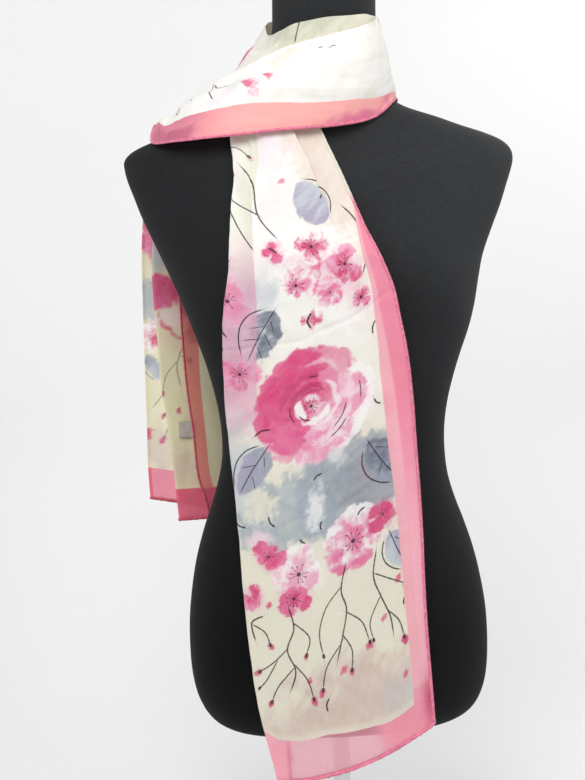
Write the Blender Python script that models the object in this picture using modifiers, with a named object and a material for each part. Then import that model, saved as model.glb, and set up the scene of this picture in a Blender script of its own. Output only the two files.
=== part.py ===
import bpy
import math
from mathutils import Vector
from mathutils.bvhtree import BVHTree

# Sizes in metres. Front faces -Y, +Z is up, origin under the middle of the stand base.
WALL = 0.0012             # cloth wall
REST_GAP = 0.0021         # middle of the cloth wall to the form it rests on
LAYER_STEP = 0.0030       # middle to middle of the front tail's two layers
UPPER_INSET = 0.004       # front tail's upper layer ends inside its lower one
PLEAT_RUN = 0.07          # share of the width that a pleat's drop takes
HEM_CURVE = 1.95          # how the front hem's slant gathers towards its right corner
WRAP_RIPPLE = 0.0016      # soft folds along the front band
BACK_LAYERS = 4
BACK_LAYER_STEP = 0.0034  # middle to middle of the back tail's layers
BACK_WAVE = 0.0008
BACK_WAVE_RATE = 70       # radians for each metre across
BACK_CURVE = (-0.120, 0.090)  # middle and width of the bend round the form's side
SEAM_GAP = 0.0003
BASE_RADIUS = 0.140
BASE_HEIGHT = 0.012
POLE_RADIUS = 0.009
FORM_SEGMENTS = 40
FORM_POWER = 2.2          # section of the form, 2 is an ellipse
FRONT = 2                 # columns of the form rows
BACK = 3
BUST_X = 0.076
BUST_Z = 0.638
BUST_REACH = 0.020
BUST_SPREAD = 0.046
LABEL_WIDTH = 0.0190
LABEL_LENGTH = 0.0170
LABEL_WALL = 0.0010
LABEL_HEIGHT = 0.473      # of its middle above the floor
LABEL_OVERLAP = 0.004     # sewn behind the side hem

# Dress form rings, bottom to top: height, half width, front, back, shift to +X
FORM_ROWS = (
    (0.1630, 0.0935, 0.0430, 0.0500, 0.003),
    (0.1665, 0.1170, 0.0590, 0.0680, 0.003),
    (0.1720, 0.1285, 0.0740, 0.0810, 0.003),
    (0.1800, 0.1385, 0.0835, 0.0900, 0.003),
    (0.1930, 0.1468, 0.0920, 0.0980, 0.0026),
    (0.2120, 0.1529, 0.0980, 0.1040, 0.0021),
    (0.2400, 0.1560, 0.1015, 0.1090, 0.0017),
    (0.2800, 0.1555, 0.1030, 0.1110, 0.0015),
    (0.3150, 0.1511, 0.1020, 0.1070, 0.0012),
    (0.3450, 0.1450, 0.0990, 0.1000, 0.0009),
    (0.3750, 0.1360, 0.0940, 0.0910, 0.0007),
    (0.4000, 0.1270, 0.0885, 0.0830, 0.0009),
    (0.4250, 0.1197, 0.0840, 0.0765, 0.0016),
    (0.4500, 0.1160, 0.0810, 0.0725, 0.003),
    (0.4750, 0.1160, 0.0800, 0.0710, 0.0036),
    (0.5000, 0.1192, 0.0810, 0.0720, 0.0043),
    (0.5250, 0.1250, 0.0840, 0.0740, 0.0051),
    (0.5500, 0.1324, 0.0890, 0.0775, 0.006),
    (0.5750, 0.1412, 0.0955, 0.0820, 0.0064),
    (0.6000, 0.1488, 0.1015, 0.0865, 0.0055),
    (0.6250, 0.1559, 0.1055, 0.0905, 0.003),
    (0.6500, 0.1638, 0.1060, 0.0930, 0.0006),
    (0.6750, 0.1740, 0.1025, 0.0945, 0.0),
    (0.7000, 0.1845, 0.0965, 0.0945, 0.0),
    (0.7200, 0.1915, 0.0900, 0.0930, 0.0),
    (0.7360, 0.1970, 0.0845, 0.0910, 0.0),
    (0.7470, 0.1995, 0.0795, 0.0885, 0.0),
    (0.7565, 0.1985, 0.0745, 0.0855, -0.001),
    (0.7650, 0.1905, 0.0700, 0.0820, -0.0012),
    (0.7730, 0.1735, 0.0665, 0.0790, -0.001),
    (0.7812, 0.1485, 0.0635, 0.0755, 0),
    (0.7905, 0.1220, 0.0605, 0.0715, 0.0015),
    (0.8020, 0.0865, 0.0580, 0.0675, 0.003),
    (0.8150, 0.0672, 0.0560, 0.0635, 0.004),
    (0.8320, 0.0602, 0.0545, 0.0595, 0.005),
    (0.8550, 0.0560, 0.0530, 0.0560, 0.007),
    (0.8850, 0.0530, 0.0520, 0.0535, 0.009),
    (0.9180, 0.0525, 0.0515, 0.0525, 0.010),
    (0.9360, 0.0515, 0.0505, 0.0515, 0.010),
    (0.9420, 0.0485, 0.0475, 0.0485, 0.010),
)

# Front tail, top to bottom: left edge x z, right edge x z, height of the right pleat's lip,
# pleat place (share of the width), left strip turned back, its place, soft wave
FRONT_TAIL_ROWS = (
    (-0.0832, 0.8090, -0.0180, 0.8090, 0.0050, 0.64, 0.0030, 0.20, 0.0000),
    (-0.0877, 0.7900, -0.0100, 0.7900, 0.0060, 0.65, 0.0040, 0.20, 0.0000),
    (-0.0897, 0.7710, -0.0027, 0.7700, 0.0070, 0.66, 0.0050, 0.19, 0.0000),
    (-0.0887, 0.7500, 0.0055, 0.7480, 0.0070, 0.69, 0.0055, 0.18, 0.0004),
    (-0.0908, 0.7255, 0.0150, 0.7230, 0.0055, 0.72, 0.0055, 0.17, 0.0006),
    (-0.0938, 0.7020, 0.0238, 0.6990, 0.0035, 0.75, 0.0055, 0.17, 0.0008),
    (-0.0957, 0.6760, 0.0330, 0.6740, 0.0015, 0.77, 0.0055, 0.17, 0.0010),
    (-0.0984, 0.6500, 0.0432, 0.6500, 0.0005, 0.78, 0.0055, 0.18, 0.0012),
    (-0.1012, 0.6200, 0.0545, 0.6200, 0.0000, 0.78, 0.0055, 0.19, 0.0014),
    (-0.1055, 0.5900, 0.0602, 0.5900, 0.0000, 0.78, 0.0050, 0.21, 0.0016),
    (-0.1076, 0.5550, 0.0660, 0.5550, 0.0000, 0.78, 0.0045, 0.20, 0.0018),
    (-0.1074, 0.5150, 0.0695, 0.5150, 0.0000, 0.78, 0.0040, 0.19, 0.0020),
    (-0.1044, 0.4700, 0.0714, 0.4700, 0.0000, 0.78, 0.0040, 0.18, 0.0022),
    (-0.1012, 0.4200, 0.0738, 0.4220, 0.0000, 0.78, 0.0035, 0.17, 0.0024),
    (-0.0984, 0.3700, 0.0752, 0.3750, 0.0000, 0.78, 0.0035, 0.16, 0.0026),
    (-0.0964, 0.3200, 0.0758, 0.3300, 0.0000, 0.78, 0.0030, 0.15, 0.0028),
    (-0.0930, 0.2680, 0.0772, 0.2860, 0.0000, 0.78, 0.0030, 0.14, 0.0028),
    (-0.0868, 0.2180, 0.0792, 0.2462, 0.0000, 0.78, 0.0025, 0.13, 0.0026),
    (-0.0792, 0.1780, 0.0807, 0.2160, 0.0000, 0.78, 0.0020, 0.12, 0.0022),
    (-0.0714, 0.1458, 0.0814, 0.1950, 0.0000, 0.78, 0.0020, 0.12, 0.0018),
)

# Neck wrap stations, from under the front band round the left of the neck, the back, the
# right, across the front and over the left shoulder: top edge x y z, bottom edge x y z,
# outward belly
NECK_WRAP_ROWS = (
    (0.0500, -0.0420, 0.8890, 0.0530, -0.0480, 0.8460, 0.0005),
    (0.0420, -0.0510, 0.8875, 0.0440, -0.0570, 0.8360, 0.0005),
    (0.0240, -0.0600, 0.8845, 0.0240, -0.0660, 0.8270, 0.0008),
    (0.0030, -0.0625, 0.8826, -0.0010, -0.0705, 0.8205, 0.0010),
    (-0.0234, -0.0580, 0.8788, -0.0330, -0.0695, 0.8170, 0.0010),
    (-0.0375, -0.0440, 0.8750, -0.0620, -0.0600, 0.8160, 0.0010),
    (-0.0480, -0.0200, 0.8755, -0.0870, -0.0390, 0.8190, 0.0008),
    (-0.0505, 0.0050, 0.8855, -0.1020, -0.0070, 0.8215, 0.0005),
    (-0.0460, 0.0330, 0.8990, -0.0960, 0.0330, 0.8190, -0.0020),
    (-0.0235, 0.0560, 0.9060, -0.0640, 0.0700, 0.8090, -0.0040),
    (0.0060, 0.0620, 0.9080, -0.0100, 0.0860, 0.8000, -0.0050),
    (0.0360, 0.0565, 0.9060, 0.0440, 0.0800, 0.7980, -0.0045),
    (0.0570, 0.0340, 0.9000, 0.0755, 0.0500, 0.8035, -0.0025),
    (0.0645, 0.0100, 0.8960, 0.0815, 0.0120, 0.8090, 0.0000),
    (0.0625, -0.0200, 0.8905, 0.0770, -0.0230, 0.8085, 0.0015),
    (0.0540, -0.0440, 0.8815, 0.0615, -0.0510, 0.7925, 0.0030),
    (0.0400, -0.0620, 0.8735, 0.0390, -0.0690, 0.7818, 0.0040),
    (0.0200, -0.0705, 0.8675, 0.0140, -0.0785, 0.7772, 0.0045),
    (0.0000, -0.0745, 0.8620, -0.0120, -0.0835, 0.7748, 0.0045),
    (-0.0200, -0.0755, 0.8572, -0.0420, -0.0862, 0.7734, 0.0045),
    (-0.0425, -0.0740, 0.8505, -0.0760, -0.0862, 0.7705, 0.0040),
    (-0.0690, -0.0650, 0.8395, -0.1110, -0.0815, 0.7688, 0.0035),
    (-0.0920, -0.0470, 0.8325, -0.1460, -0.0665, 0.7680, 0.0030),
    (-0.1100, -0.0200, 0.8285, -0.1690, -0.0345, 0.7714, 0.0020),
    (-0.1185, 0.0080, 0.8240, -0.1672, 0.0010, 0.7925, 0.0005),
    (-0.1140, 0.0430, 0.8100, -0.1645, 0.0330, 0.7865, 0.0010),
    (-0.0990, 0.0750, 0.7880, -0.1740, 0.0575, 0.7650, 0.0010),
    (-0.0850, 0.0965, 0.7620, -0.1845, 0.0760, 0.7430, 0.0010),
    (-0.0750, 0.1055, 0.7280, -0.1905, 0.0850, 0.7160, 0.0006),
)

# Back tail, top to bottom: height, side hem of the nearest layer, left fold of the middle
# layers, left edge of the rear layer, hidden right folds, depth at the left edge,
# how much higher the rear layer hangs at its left edge
BACK_TAIL_ROWS = (
    (0.7320, -0.1450, -0.1600, -0.1830, -0.0790, 0.0700, 0.000),
    (0.7120, -0.1480, -0.1670, -0.1860, -0.0740, 0.0710, 0.000),
    (0.6900, -0.1500, -0.1740, -0.1885, -0.0700, 0.0720, 0.000),
    (0.6600, -0.1510, -0.1780, -0.1905, -0.0670, 0.0725, 0.000),
    (0.6200, -0.1512, -0.1785, -0.1912, -0.0650, 0.0725, 0.000),
    (0.5700, -0.1502, -0.1762, -0.1921, -0.0640, 0.0725, 0.000),
    (0.5200, -0.1478, -0.1738, -0.1926, -0.0630, 0.0720, 0.002),
    (0.4700, -0.1428, -0.1680, -0.1931, -0.0630, 0.0720, 0.006),
    (0.4250, -0.1400, -0.1645, -0.1938, -0.0640, 0.0720, 0.014),
    (0.3950, -0.1330, -0.1625, -0.1935, -0.0650, 0.0725, 0.020),
    (0.3740, -0.1290, -0.1612, -0.1928, -0.0660, 0.0730, 0.025),
)


def clearScene():
    for item in list(bpy.data.objects):
        bpy.data.objects.remove(item, do_unlink=True)
    for block in list(bpy.data.meshes):
        bpy.data.meshes.remove(block)


def makeMaterial(name, colour, roughness):
    mat = bpy.data.materials.new(name)
    mat.use_nodes = True
    shader = mat.node_tree.nodes["Principled BSDF"]
    shader.inputs["Base Color"].default_value = (*colour, 1.0)
    shader.inputs["Roughness"].default_value = roughness
    mat.diffuse_color = (*colour, 1.0)
    return mat


def curveAt(rows, place):
    """Smooth value of every column at a place counted in rows."""
    last = len(rows) - 1
    index = min(int(place), last - 1)
    t = place - index
    quad = [rows[min(max(index + k, 0), last)] for k in (-1, 0, 1, 2)]
    values = []
    for a, b, c, d in zip(*quad):
        left = (c - a) / 2
        right = (d - b) / 2
        cube = (2 * t ** 3 - 3 * t ** 2 + 1) * b + (t ** 3 - 2 * t ** 2 + t) * left
        cube += (3 * t ** 2 - 2 * t ** 3) * c + (t ** 3 - t ** 2) * right
        values.append(cube)
    return values


def resample(rows, steps):
    last = len(rows) - 1
    return [curveAt(rows, last * i / steps) for i in range(steps + 1)]


def step(edge, width, x):
    """0 to 1 across a width that is centred on the edge."""
    t = min(max((x - edge) / width + 0.5, 0.0), 1.0)
    return t * t * (3 - 2 * t)


def bustReach(x, z):
    across = ((abs(x) - BUST_X) / BUST_SPREAD) ** 2
    up = ((z - BUST_Z) / BUST_SPREAD) ** 2
    return BUST_REACH * math.exp(-across - up)


def formRing(row):
    z, half, front, back, shift = row
    ring = []
    for i in range(FORM_SEGMENTS):
        angle = 2 * math.pi * i / FORM_SEGMENTS
        c, s = math.cos(angle), math.sin(angle)
        x = half * math.copysign(abs(c) ** (2 / FORM_POWER), c)
        depth = back if s > 0 else front
        y = depth * math.copysign(abs(s) ** (2 / FORM_POWER), s)
        if s < 0:
            y -= bustReach(x, z) * min(1.0, -s * 1.6)
        ring.append((x + shift, y, z))
    return ring


def formDepth(x, z, side):
    """Depth of the form's front or back at a place across and a height."""
    index = 0
    while index < len(FORM_ROWS) - 2 and FORM_ROWS[index + 1][0] < z:
        index += 1
    low, high = FORM_ROWS[index], FORM_ROWS[index + 1]
    t = min(max((z - low[0]) / (high[0] - low[0]), 0.0), 1.0)
    half = low[1] * (1 - t) + high[1] * t
    depth = low[side] * (1 - t) + high[side] * t
    share = min(abs(x) / half, 0.999)
    depth *= (1 - share ** FORM_POWER) ** (1 / FORM_POWER)
    return depth + bustReach(x, z) if side == FRONT else depth


def placeObject(name, mesh, mat, home):
    obj = bpy.data.objects.new(name, mesh)
    home.objects.link(obj)
    obj.data.materials.append(mat)
    return obj


def buildForm(home, mat):
    rings = [formRing(row) for row in FORM_ROWS]
    count = FORM_SEGMENTS
    points = [p for ring in rings for p in ring]
    faces = []
    for r in range(len(rings) - 1):
        for i in range(count):
            j = (i + 1) % count
            faces.append((r * count + i, r * count + j, (r + 1) * count + j, (r + 1) * count + i))
    faces.append(tuple(reversed(range(count))))
    top = (len(rings) - 1) * count
    faces.append(tuple(range(top, top + count)))
    mesh = bpy.data.meshes.new("dress_form")
    mesh.from_pydata(points, [], faces)
    mesh.shade_smooth()
    placeObject("dress_form", mesh, mat, home)
    return BVHTree.FromPolygons([Vector(p) for p in points], faces)


def keepClear(grid, surface, gaps):
    """Moves points that are too near the form, or in it, out along its normal."""
    for line in grid:
        for k, point in enumerate(line):
            place, normal, _, _ = surface.find_nearest(point)
            if place is None:
                continue
            if (point - place).dot(normal) < gaps[k]:
                line[k] = place + normal * gaps[k]
    return grid


def clothFromGrid(name, grid, wall, mat, home):
    rows, columns = len(grid), len(grid[0])
    points = [p for line in grid for p in line]
    faces = []
    for r in range(rows - 1):
        for c in range(columns - 1):
            a = r * columns + c
            faces.append((a, a + 1, a + columns + 1, a + columns))
    mesh = bpy.data.meshes.new(name)
    mesh.from_pydata(points, [], faces)
    mesh.shade_smooth()
    obj = placeObject(name, mesh, mat, home)
    solid = obj.modifiers.new("wall", 'SOLIDIFY')
    solid.thickness = wall
    solid.offset = 0.0
    solid.use_even_offset = True
    solid.thickness_clamp = 1.0
    return obj


def hangLine(levels, left, right, side):
    """Depth a cloth hangs at: down the form, then straight from the fullest place."""
    samples = 13
    blur = 4
    depths = []
    reached = 0.0
    for z in levels:
        places = [left + (right - left) * k / (samples - 1) for k in range(samples)]
        reached = max(reached, max(formDepth(x, z, side) for x in places))
        depths.append(reached)
    smooth = []
    for i, depth in enumerate(depths):
        near = depths[max(i - blur, 0):i + blur + 1]
        smooth.append(max(depth, sum(near) / len(near)))
    return smooth


def foldRound(centre, radius, side, steps):
    """Points of a fold's half turn, from the near layer to the far one."""
    points = []
    for k in range(steps + 1):
        angle = math.pi * k / steps
        across = side * radius * math.sin(angle)
        points.append(centre + Vector((across, -radius * math.cos(angle), 0)))
    return points


def frontTailPoint(row, reach, u, back):
    """A point u of the width from the left, on the upper (0) or lower (1) layer."""
    xl, zl, xr, zr, pleat, pleatAt, turn, turnAt, wave = row
    width = xr - xl - UPPER_INSET * (1 - back)
    lip = pleat * step(pleatAt / 2, pleatAt, u) * (1 - step(pleatAt, PLEAT_RUN, u)) * (1 - back)
    turned = turn * max(0.0, 1 - u / turnAt) ** 1.3
    soft = wave * math.sin(6.0 * u + 9.0 * zl)
    y = -(reach + REST_GAP + LAYER_STEP) + back * LAYER_STEP - lip + turned + soft
    return Vector((xl + width * u, y, zl + (zr - zl) * u ** HEM_CURVE))


def frontTailGrid(surface):
    upper = 13
    lower = 9
    rows = resample(FRONT_TAIL_ROWS, 46)
    depths = hangLine([row[1] for row in rows], -0.09, 0.05, FRONT)
    turns = 3
    gaps = [REST_GAP + LAYER_STEP] * upper
    gaps += [REST_GAP + LAYER_STEP * (1 - k / turns) for k in range(turns + 1)]
    gaps += [REST_GAP] * lower
    grid = []
    for row, reach in zip(rows, depths):
        line = [frontTailPoint(row, reach, 1 - k / upper, 0) for k in range(upper)]
        centre = frontTailPoint(row, reach, 0, 0) + Vector((0, LAYER_STEP / 2, 0))
        line += foldRound(centre, LAYER_STEP / 2, -1, turns)
        line += [frontTailPoint(row, reach, k / lower, 1) for k in range(1, lower + 1)]
        grid.append(line)
    return keepClear(grid, surface, gaps)


def neckWrapGrid(surface):
    across = 7
    stations = resample(NECK_WRAP_ROWS, 84)
    last = len(stations) - 1
    grid = []
    for i, row in enumerate(stations):
        before, after = stations[max(i - 1, 0)], stations[min(i + 1, last)]
        top, bottom = Vector(row[0:3]), Vector(row[3:6])
        along = Vector(after[0:3]) + Vector(after[3:6]) - Vector(before[0:3]) - Vector(before[3:6])
        outward = (top - bottom).cross(along).normalized()
        share = i / last
        ripple = WRAP_RIPPLE * step(0.60, 0.1, share)
        line = []
        for k in range(across + 1):
            v = k / across
            bulge = (row[6] + ripple * math.sin(11 * v + 5 * share)) * math.sin(math.pi * v)
            line.append(top.lerp(bottom, v) + outward * bulge)
        grid.append(line)
    return keepClear(grid, surface, [REST_GAP] * (across + 1))


def backTailDepth(x, layer, outer, reach, share):
    """Depth of the back tail's layers, 0 the nearest to the form's front, share down its length."""
    middle, width = BACK_CURVE
    inner = reach + REST_GAP
    near = outer + (inner - outer) * step(middle, width, x)
    wave = BACK_WAVE * step(0.15, 0.3, share) * math.sin(BACK_WAVE_RATE * x)
    return near + layer * BACK_LAYER_STEP + wave


def backTailRows():
    rows = resample(BACK_TAIL_ROWS, 24)
    depths = hangLine([row[0] for row in rows], -0.15, -0.065, BACK)
    shares = [i / (len(rows) - 1) for i in range(len(rows))]
    return list(zip(rows, depths, shares))


def backTailGrid():
    columns = 7
    rear = BACK_LAYERS - 1
    grid = []
    for (z, hemX, foldX, leftX, rightX, outer, lift), reach, share in backTailRows():
        turns = (hemX, rightX, foldX, rightX, leftX)

        def layerPoint(x, layer):
            raised = 0.0
            if layer == rear:
                raised = lift * max(0.0, (rightX - x) / (rightX - leftX))
            return Vector((x, backTailDepth(x, layer, outer, reach, share), z + raised))

        line = [layerPoint(hemX, 0)]
        for layer in range(BACK_LAYERS):
            start, end = turns[layer], turns[layer + 1]
            for k in range(columns):
                line.append(layerPoint(start + (end - start) * (k + 0.5) / columns, layer))
            if layer < rear:
                centre = (layerPoint(end, layer) + layerPoint(end, layer + 1)) / 2
                centre.z = z
                side = 1 if end > start else -1
                line += foldRound(centre, BACK_LAYER_STEP / 2, side, 2)
        line.append(layerPoint(leftX, rear))
        grid.append(line)
    return grid


def labelGrid():
    """The label's points are the back tail's own, moved behind its side hem."""
    rows, columns = 3, 6
    row, reach, share = min(backTailRows(), key=lambda item: abs(item[0][0] - LABEL_HEIGHT))
    behindHem = (WALL + LABEL_WALL) / 2 + SEAM_GAP
    right = row[1] + LABEL_OVERLAP
    grid = []
    for i in range(rows + 1):
        z = LABEL_HEIGHT + LABEL_LENGTH * (0.5 - i / rows)
        line = []
        for k in range(columns + 1):
            x = right - LABEL_WIDTH * k / columns
            line.append(Vector((x, backTailDepth(x, 0, row[5], reach, share) + behindHem, z)))
        grid.append(line)
    return grid


def buildStand(home, mat):
    length = FORM_ROWS[0][0] - BASE_HEIGHT - 2 * SEAM_GAP
    bpy.ops.mesh.primitive_cylinder_add(vertices=64, radius=BASE_RADIUS, depth=BASE_HEIGHT,
                                        location=(0, 0, BASE_HEIGHT / 2))
    base = bpy.context.object
    base.name = "stand_base"
    rim = base.modifiers.new("rim", 'BEVEL')
    rim.width = 0.003
    rim.segments = 2
    rim.limit_method = 'ANGLE'
    bpy.ops.mesh.primitive_cylinder_add(vertices=24, radius=POLE_RADIUS, depth=length,
                                        location=(0, 0, BASE_HEIGHT + SEAM_GAP + length / 2))
    pole = bpy.context.object
    pole.name = "stand_pole"
    for item in (base, pole):
        item.data.name = item.name
        item.data.materials.append(mat)
        for owner in list(item.users_collection):
            owner.objects.unlink(item)
        home.objects.link(item)


clearScene()
home = bpy.data.collections.new("chiffon_scarf_on_form")
bpy.context.scene.collection.children.link(home)

jersey = makeMaterial("black_jersey", (0.020, 0.021, 0.023), 0.85)
chiffon = makeMaterial("printed_chiffon", (0.86, 0.80, 0.72), 0.60)
enamel = makeMaterial("white_enamel", (0.85, 0.85, 0.86), 0.35)
tape = makeMaterial("label_tape", (0.42, 0.38, 0.35), 0.80)

surface = buildForm(home, jersey)
buildStand(home, enamel)
clothFromGrid("front_tail", frontTailGrid(surface), WALL, chiffon, home)
clothFromGrid("neck_wrap", neckWrapGrid(surface), WALL, chiffon, home)
clothFromGrid("back_tail", backTailGrid(), WALL, chiffon, home)
clothFromGrid("care_label", labelGrid(), LABEL_WALL, tape, home)
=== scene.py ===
import bmesh
import bpy
import math
import numpy as np
from mathutils import Matrix, Vector
from mathutils.bvhtree import BVHTree


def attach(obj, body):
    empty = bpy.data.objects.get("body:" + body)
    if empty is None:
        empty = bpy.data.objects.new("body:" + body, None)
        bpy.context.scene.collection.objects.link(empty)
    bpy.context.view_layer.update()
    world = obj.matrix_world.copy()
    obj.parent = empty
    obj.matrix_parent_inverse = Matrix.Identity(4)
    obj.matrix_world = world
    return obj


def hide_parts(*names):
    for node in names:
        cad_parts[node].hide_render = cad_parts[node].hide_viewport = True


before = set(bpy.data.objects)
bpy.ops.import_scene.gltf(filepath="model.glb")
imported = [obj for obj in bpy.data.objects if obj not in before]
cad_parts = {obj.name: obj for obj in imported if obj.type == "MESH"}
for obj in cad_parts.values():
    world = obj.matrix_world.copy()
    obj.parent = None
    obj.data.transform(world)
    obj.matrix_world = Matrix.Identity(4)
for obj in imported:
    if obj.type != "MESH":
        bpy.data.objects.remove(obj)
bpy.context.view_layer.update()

print("frame loaded:", sorted(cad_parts))


def metres(rows, shares=()):  # tables are written in millimetres, apart from columns that are shares
    table = np.array(rows, float)
    table[:, [k for k in range(table.shape[1]) if k not in shares]] /= 1000
    return table


# sizes shared with the solids, in metres, front faces -Y
cloth = dict(restGap=0.0021, layerStep=0.0030, upperInset=0.0012, pleatRun=0.022, hemCurve=1.95,
             ripple=0.0016, backStep=0.0034, backWave=0.0008, backWaveRate=70, backBend=(-0.120, 0.090),
             hemRadius=0.00115, coverGap=0.0013)
bust = dict(x=0.076, z=0.638, reach=0.020, spread=0.046)
sectionPower = 2.2  # 2 is an ellipse

# form rings, bottom to top: height, half width, front, back, shift to +X
formRows = metres((
    (163, 93.5, 43, 50, 3), (166.5, 117, 59, 68, 3), (172, 128.5, 74, 81, 3), (180, 138.5, 83.5, 90, 3),
    (193, 146.8, 92, 98, 2.6), (212, 152.9, 98, 104, 2.1), (240, 156, 101.5, 109, 1.7),
    (280, 155.5, 103, 111, 1.5), (315, 151.1, 102, 107, 1.2), (345, 145, 99, 100, 0.9),
    (375, 136, 94, 91, 0.7), (400, 127, 88.5, 83, 0.9), (425, 119.7, 84, 76.5, 1.6),
    (450, 116, 81, 72.5, 3), (475, 116, 80, 71, 3.6), (500, 119.2, 81, 72, 4.3), (525, 125, 84, 74, 5.1),
    (550, 132.4, 89, 77.5, 6), (575, 141.2, 95.5, 82, 6.4), (600, 148.8, 101.5, 86.5, 5.5),
    (625, 155.9, 105.5, 90.5, 3), (650, 163.8, 106, 93, 0.6), (675, 174, 102.5, 94.5, 0),
    (700, 184.5, 96.5, 94.5, 0), (720, 191.5, 90, 93, 0), (736, 197, 84.5, 91, 0),
    (747, 199.5, 79.5, 88.5, 0), (756.5, 198.5, 74.5, 85.5, -1), (765, 190.5, 70, 82, -1.2),
    (773, 173.5, 66.5, 79, -1), (781.2, 148.5, 63.5, 75.5, 0), (790.5, 122, 60.5, 71.5, 1.5),
    (802, 86.5, 58, 67.5, 3), (815, 67.2, 56, 63.5, 4), (832, 60.2, 54.5, 59.5, 5), (855, 56, 53, 56, 7),
    (885, 53, 52, 53.5, 9), (918, 52.5, 51.5, 52.5, 10), (936, 51.5, 50.5, 51.5, 10),
    (942, 48.5, 47.5, 48.5, 10),
))

# front tail, top to bottom: left edge x z, right edge x z, height of the right pleat's lip,
# pleat place (share of the width), left strip turned back, its place, soft wave
frontTailRows = metres((
    (-83.2, 809, -18, 809, 5, 0.64, 3, 0.2, 0), (-87.7, 790, -10, 790, 6, 0.65, 4, 0.2, 0),
    (-89.7, 771, -2.7, 770, 7, 0.66, 5, 0.19, 0), (-88.7, 750, 5.5, 748, 7, 0.69, 5.5, 0.18, 0.4),
    (-90.8, 725.5, 15, 723, 5.5, 0.72, 5.5, 0.17, 0.6), (-93.8, 702, 23.8, 699, 3.5, 0.75, 5.5, 0.17, 0.8),
    (-95.7, 676, 33, 674, 1.5, 0.77, 5.5, 0.17, 1), (-98.4, 650, 43.2, 650, 0.5, 0.78, 5.5, 0.18, 1.2),
    (-101.2, 620, 54.5, 620, 0, 0.78, 5.5, 0.19, 1.4), (-105.5, 590, 60.2, 590, 0, 0.78, 5, 0.21, 1.6),
    (-107.6, 555, 66, 555, 0, 0.78, 4.5, 0.2, 1.8), (-107.4, 515, 69.5, 515, 0, 0.78, 4, 0.19, 2),
    (-104.4, 470, 71.4, 470, 0, 0.78, 4, 0.18, 2.2), (-101.2, 420, 73.8, 422, 0, 0.78, 3.5, 0.17, 2.4),
    (-98.4, 370, 75.2, 375, 0, 0.78, 3.5, 0.16, 2.6), (-96.4, 320, 75.8, 330, 0, 0.78, 3, 0.15, 2.8),
    (-93, 268, 77.2, 286, 0, 0.78, 3, 0.14, 2.8), (-86.8, 218, 79.2, 246.2, 0, 0.78, 2.5, 0.13, 2.6),
    (-79.2, 178, 80.7, 216, 0, 0.78, 2, 0.12, 2.2), (-71.4, 145.8, 81.4, 195, 0, 0.78, 2, 0.12, 1.8),
), shares=(5, 7))

# neck wrap stations, from under the front band round the neck and over the shoulder:
# top edge x y z, bottom edge x y z, outward belly
neckWrapRows = metres((
    (50, -42, 889, 53, -48, 846, 0.5), (42, -51, 887.5, 44, -57, 836, 0.5),
    (24, -60, 884.5, 24, -66, 827, 0.8), (3, -62.5, 882.6, -1, -70.5, 820.5, 1),
    (-23.4, -58, 878.8, -33, -69.5, 817, 1), (-37.5, -44, 875, -62, -60, 816, 1),
    (-48, -20, 875.5, -87, -39, 819, 0.8), (-50.5, 5, 885.5, -102, -7, 821.5, 0.5),
    (-46, 33, 899, -96, 33, 819, -2), (-23.5, 56, 906, -64, 70, 809, -4), (6, 62, 908, -10, 86, 800, -5),
    (36, 56.5, 906, 44, 80, 798, -4.5), (57, 34, 900, 75.5, 50, 803.5, -2.5),
    (64.5, 10, 896, 81.5, 12, 809, 0), (62.5, -20, 890.5, 77, -23, 808.5, 1.5),
    (54, -44, 881.5, 61.5, -51, 792.5, 3), (40, -62, 873.5, 39, -69, 781.8, 4),
    (20, -70.5, 867.5, 14, -78.5, 777.2, 4.5), (0, -74.5, 862, -12, -83.5, 774.8, 4.5),
    (-20, -75.5, 857.2, -42, -86.2, 773.4, 4.5), (-42.5, -74, 850.5, -76, -86.2, 770.5, 4),
    (-69, -65, 839.5, -111, -81.5, 768.8, 3.5), (-92, -47, 832.5, -146, -66.5, 768, 3),
    (-110, -20, 828.5, -169, -34.5, 771.4, 2), (-118.5, 8, 824, -167.2, 1, 792.5, 0.5),
    (-114, 43, 810, -164.5, 33, 786.5, 1), (-99, 75, 788, -174, 57.5, 765, 1),
    (-85, 96.5, 762, -184.5, 76, 743, 1), (-75, 105.5, 728, -190.5, 85, 716, 0.6),
))

# back tail, top to bottom: height, side hem of the nearest sheet, left fold of the middle ones,
# left edge of the rear one, hidden right folds, depth at the left edge, rear sheet's lift
backTailRows = metres((
    (732, -145, -160, -183, -79, 70, 0), (712, -148, -167, -186, -74, 71, 0),
    (690, -150, -174, -188.5, -70, 72, 0), (660, -151, -178, -190.5, -67, 72.5, 0),
    (620, -151.2, -178.5, -191.2, -65, 72.5, 0), (570, -150.2, -176.2, -192.1, -64, 72.5, 0),
    (520, -147.8, -173.8, -192.6, -63, 72, 2), (470, -142.8, -168, -193.1, -63, 72, 6),
    (425, -140, -164.5, -193.8, -64, 72, 14), (395, -133, -162.5, -193.5, -65, 72.5, 20),
    (374, -129, -161.2, -192.8, -66, 73, 25),
))


# small helpers
def linear(red, green, blue):  # screen colour 0-255 to the value a shader takes
    scaled = [c / 255 for c in (red, green, blue)]
    return np.array([((c + 0.055) / 1.055) ** 2.4 if c > 0.04045 else c / 12.92 for c in scaled])


def curveRows(rows, places):  # smooth value of every column at places counted in rows
    table = np.array(rows, float)
    last = len(table) - 1
    index = np.clip(np.asarray(places).astype(int), 0, last - 1)
    t = (np.asarray(places) - index)[:, None]
    before, start, end = table[np.clip(index - 1, 0, last)], table[index], table[index + 1]
    after = table[np.clip(index + 2, 0, last)]
    left, right = (end - before) / 2, (after - start) / 2
    value = (2 * t ** 3 - 3 * t ** 2 + 1) * start + (t ** 3 - 2 * t ** 2 + t) * left
    return value + (3 * t ** 2 - 2 * t ** 3) * end + (t ** 3 - t ** 2) * right


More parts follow.
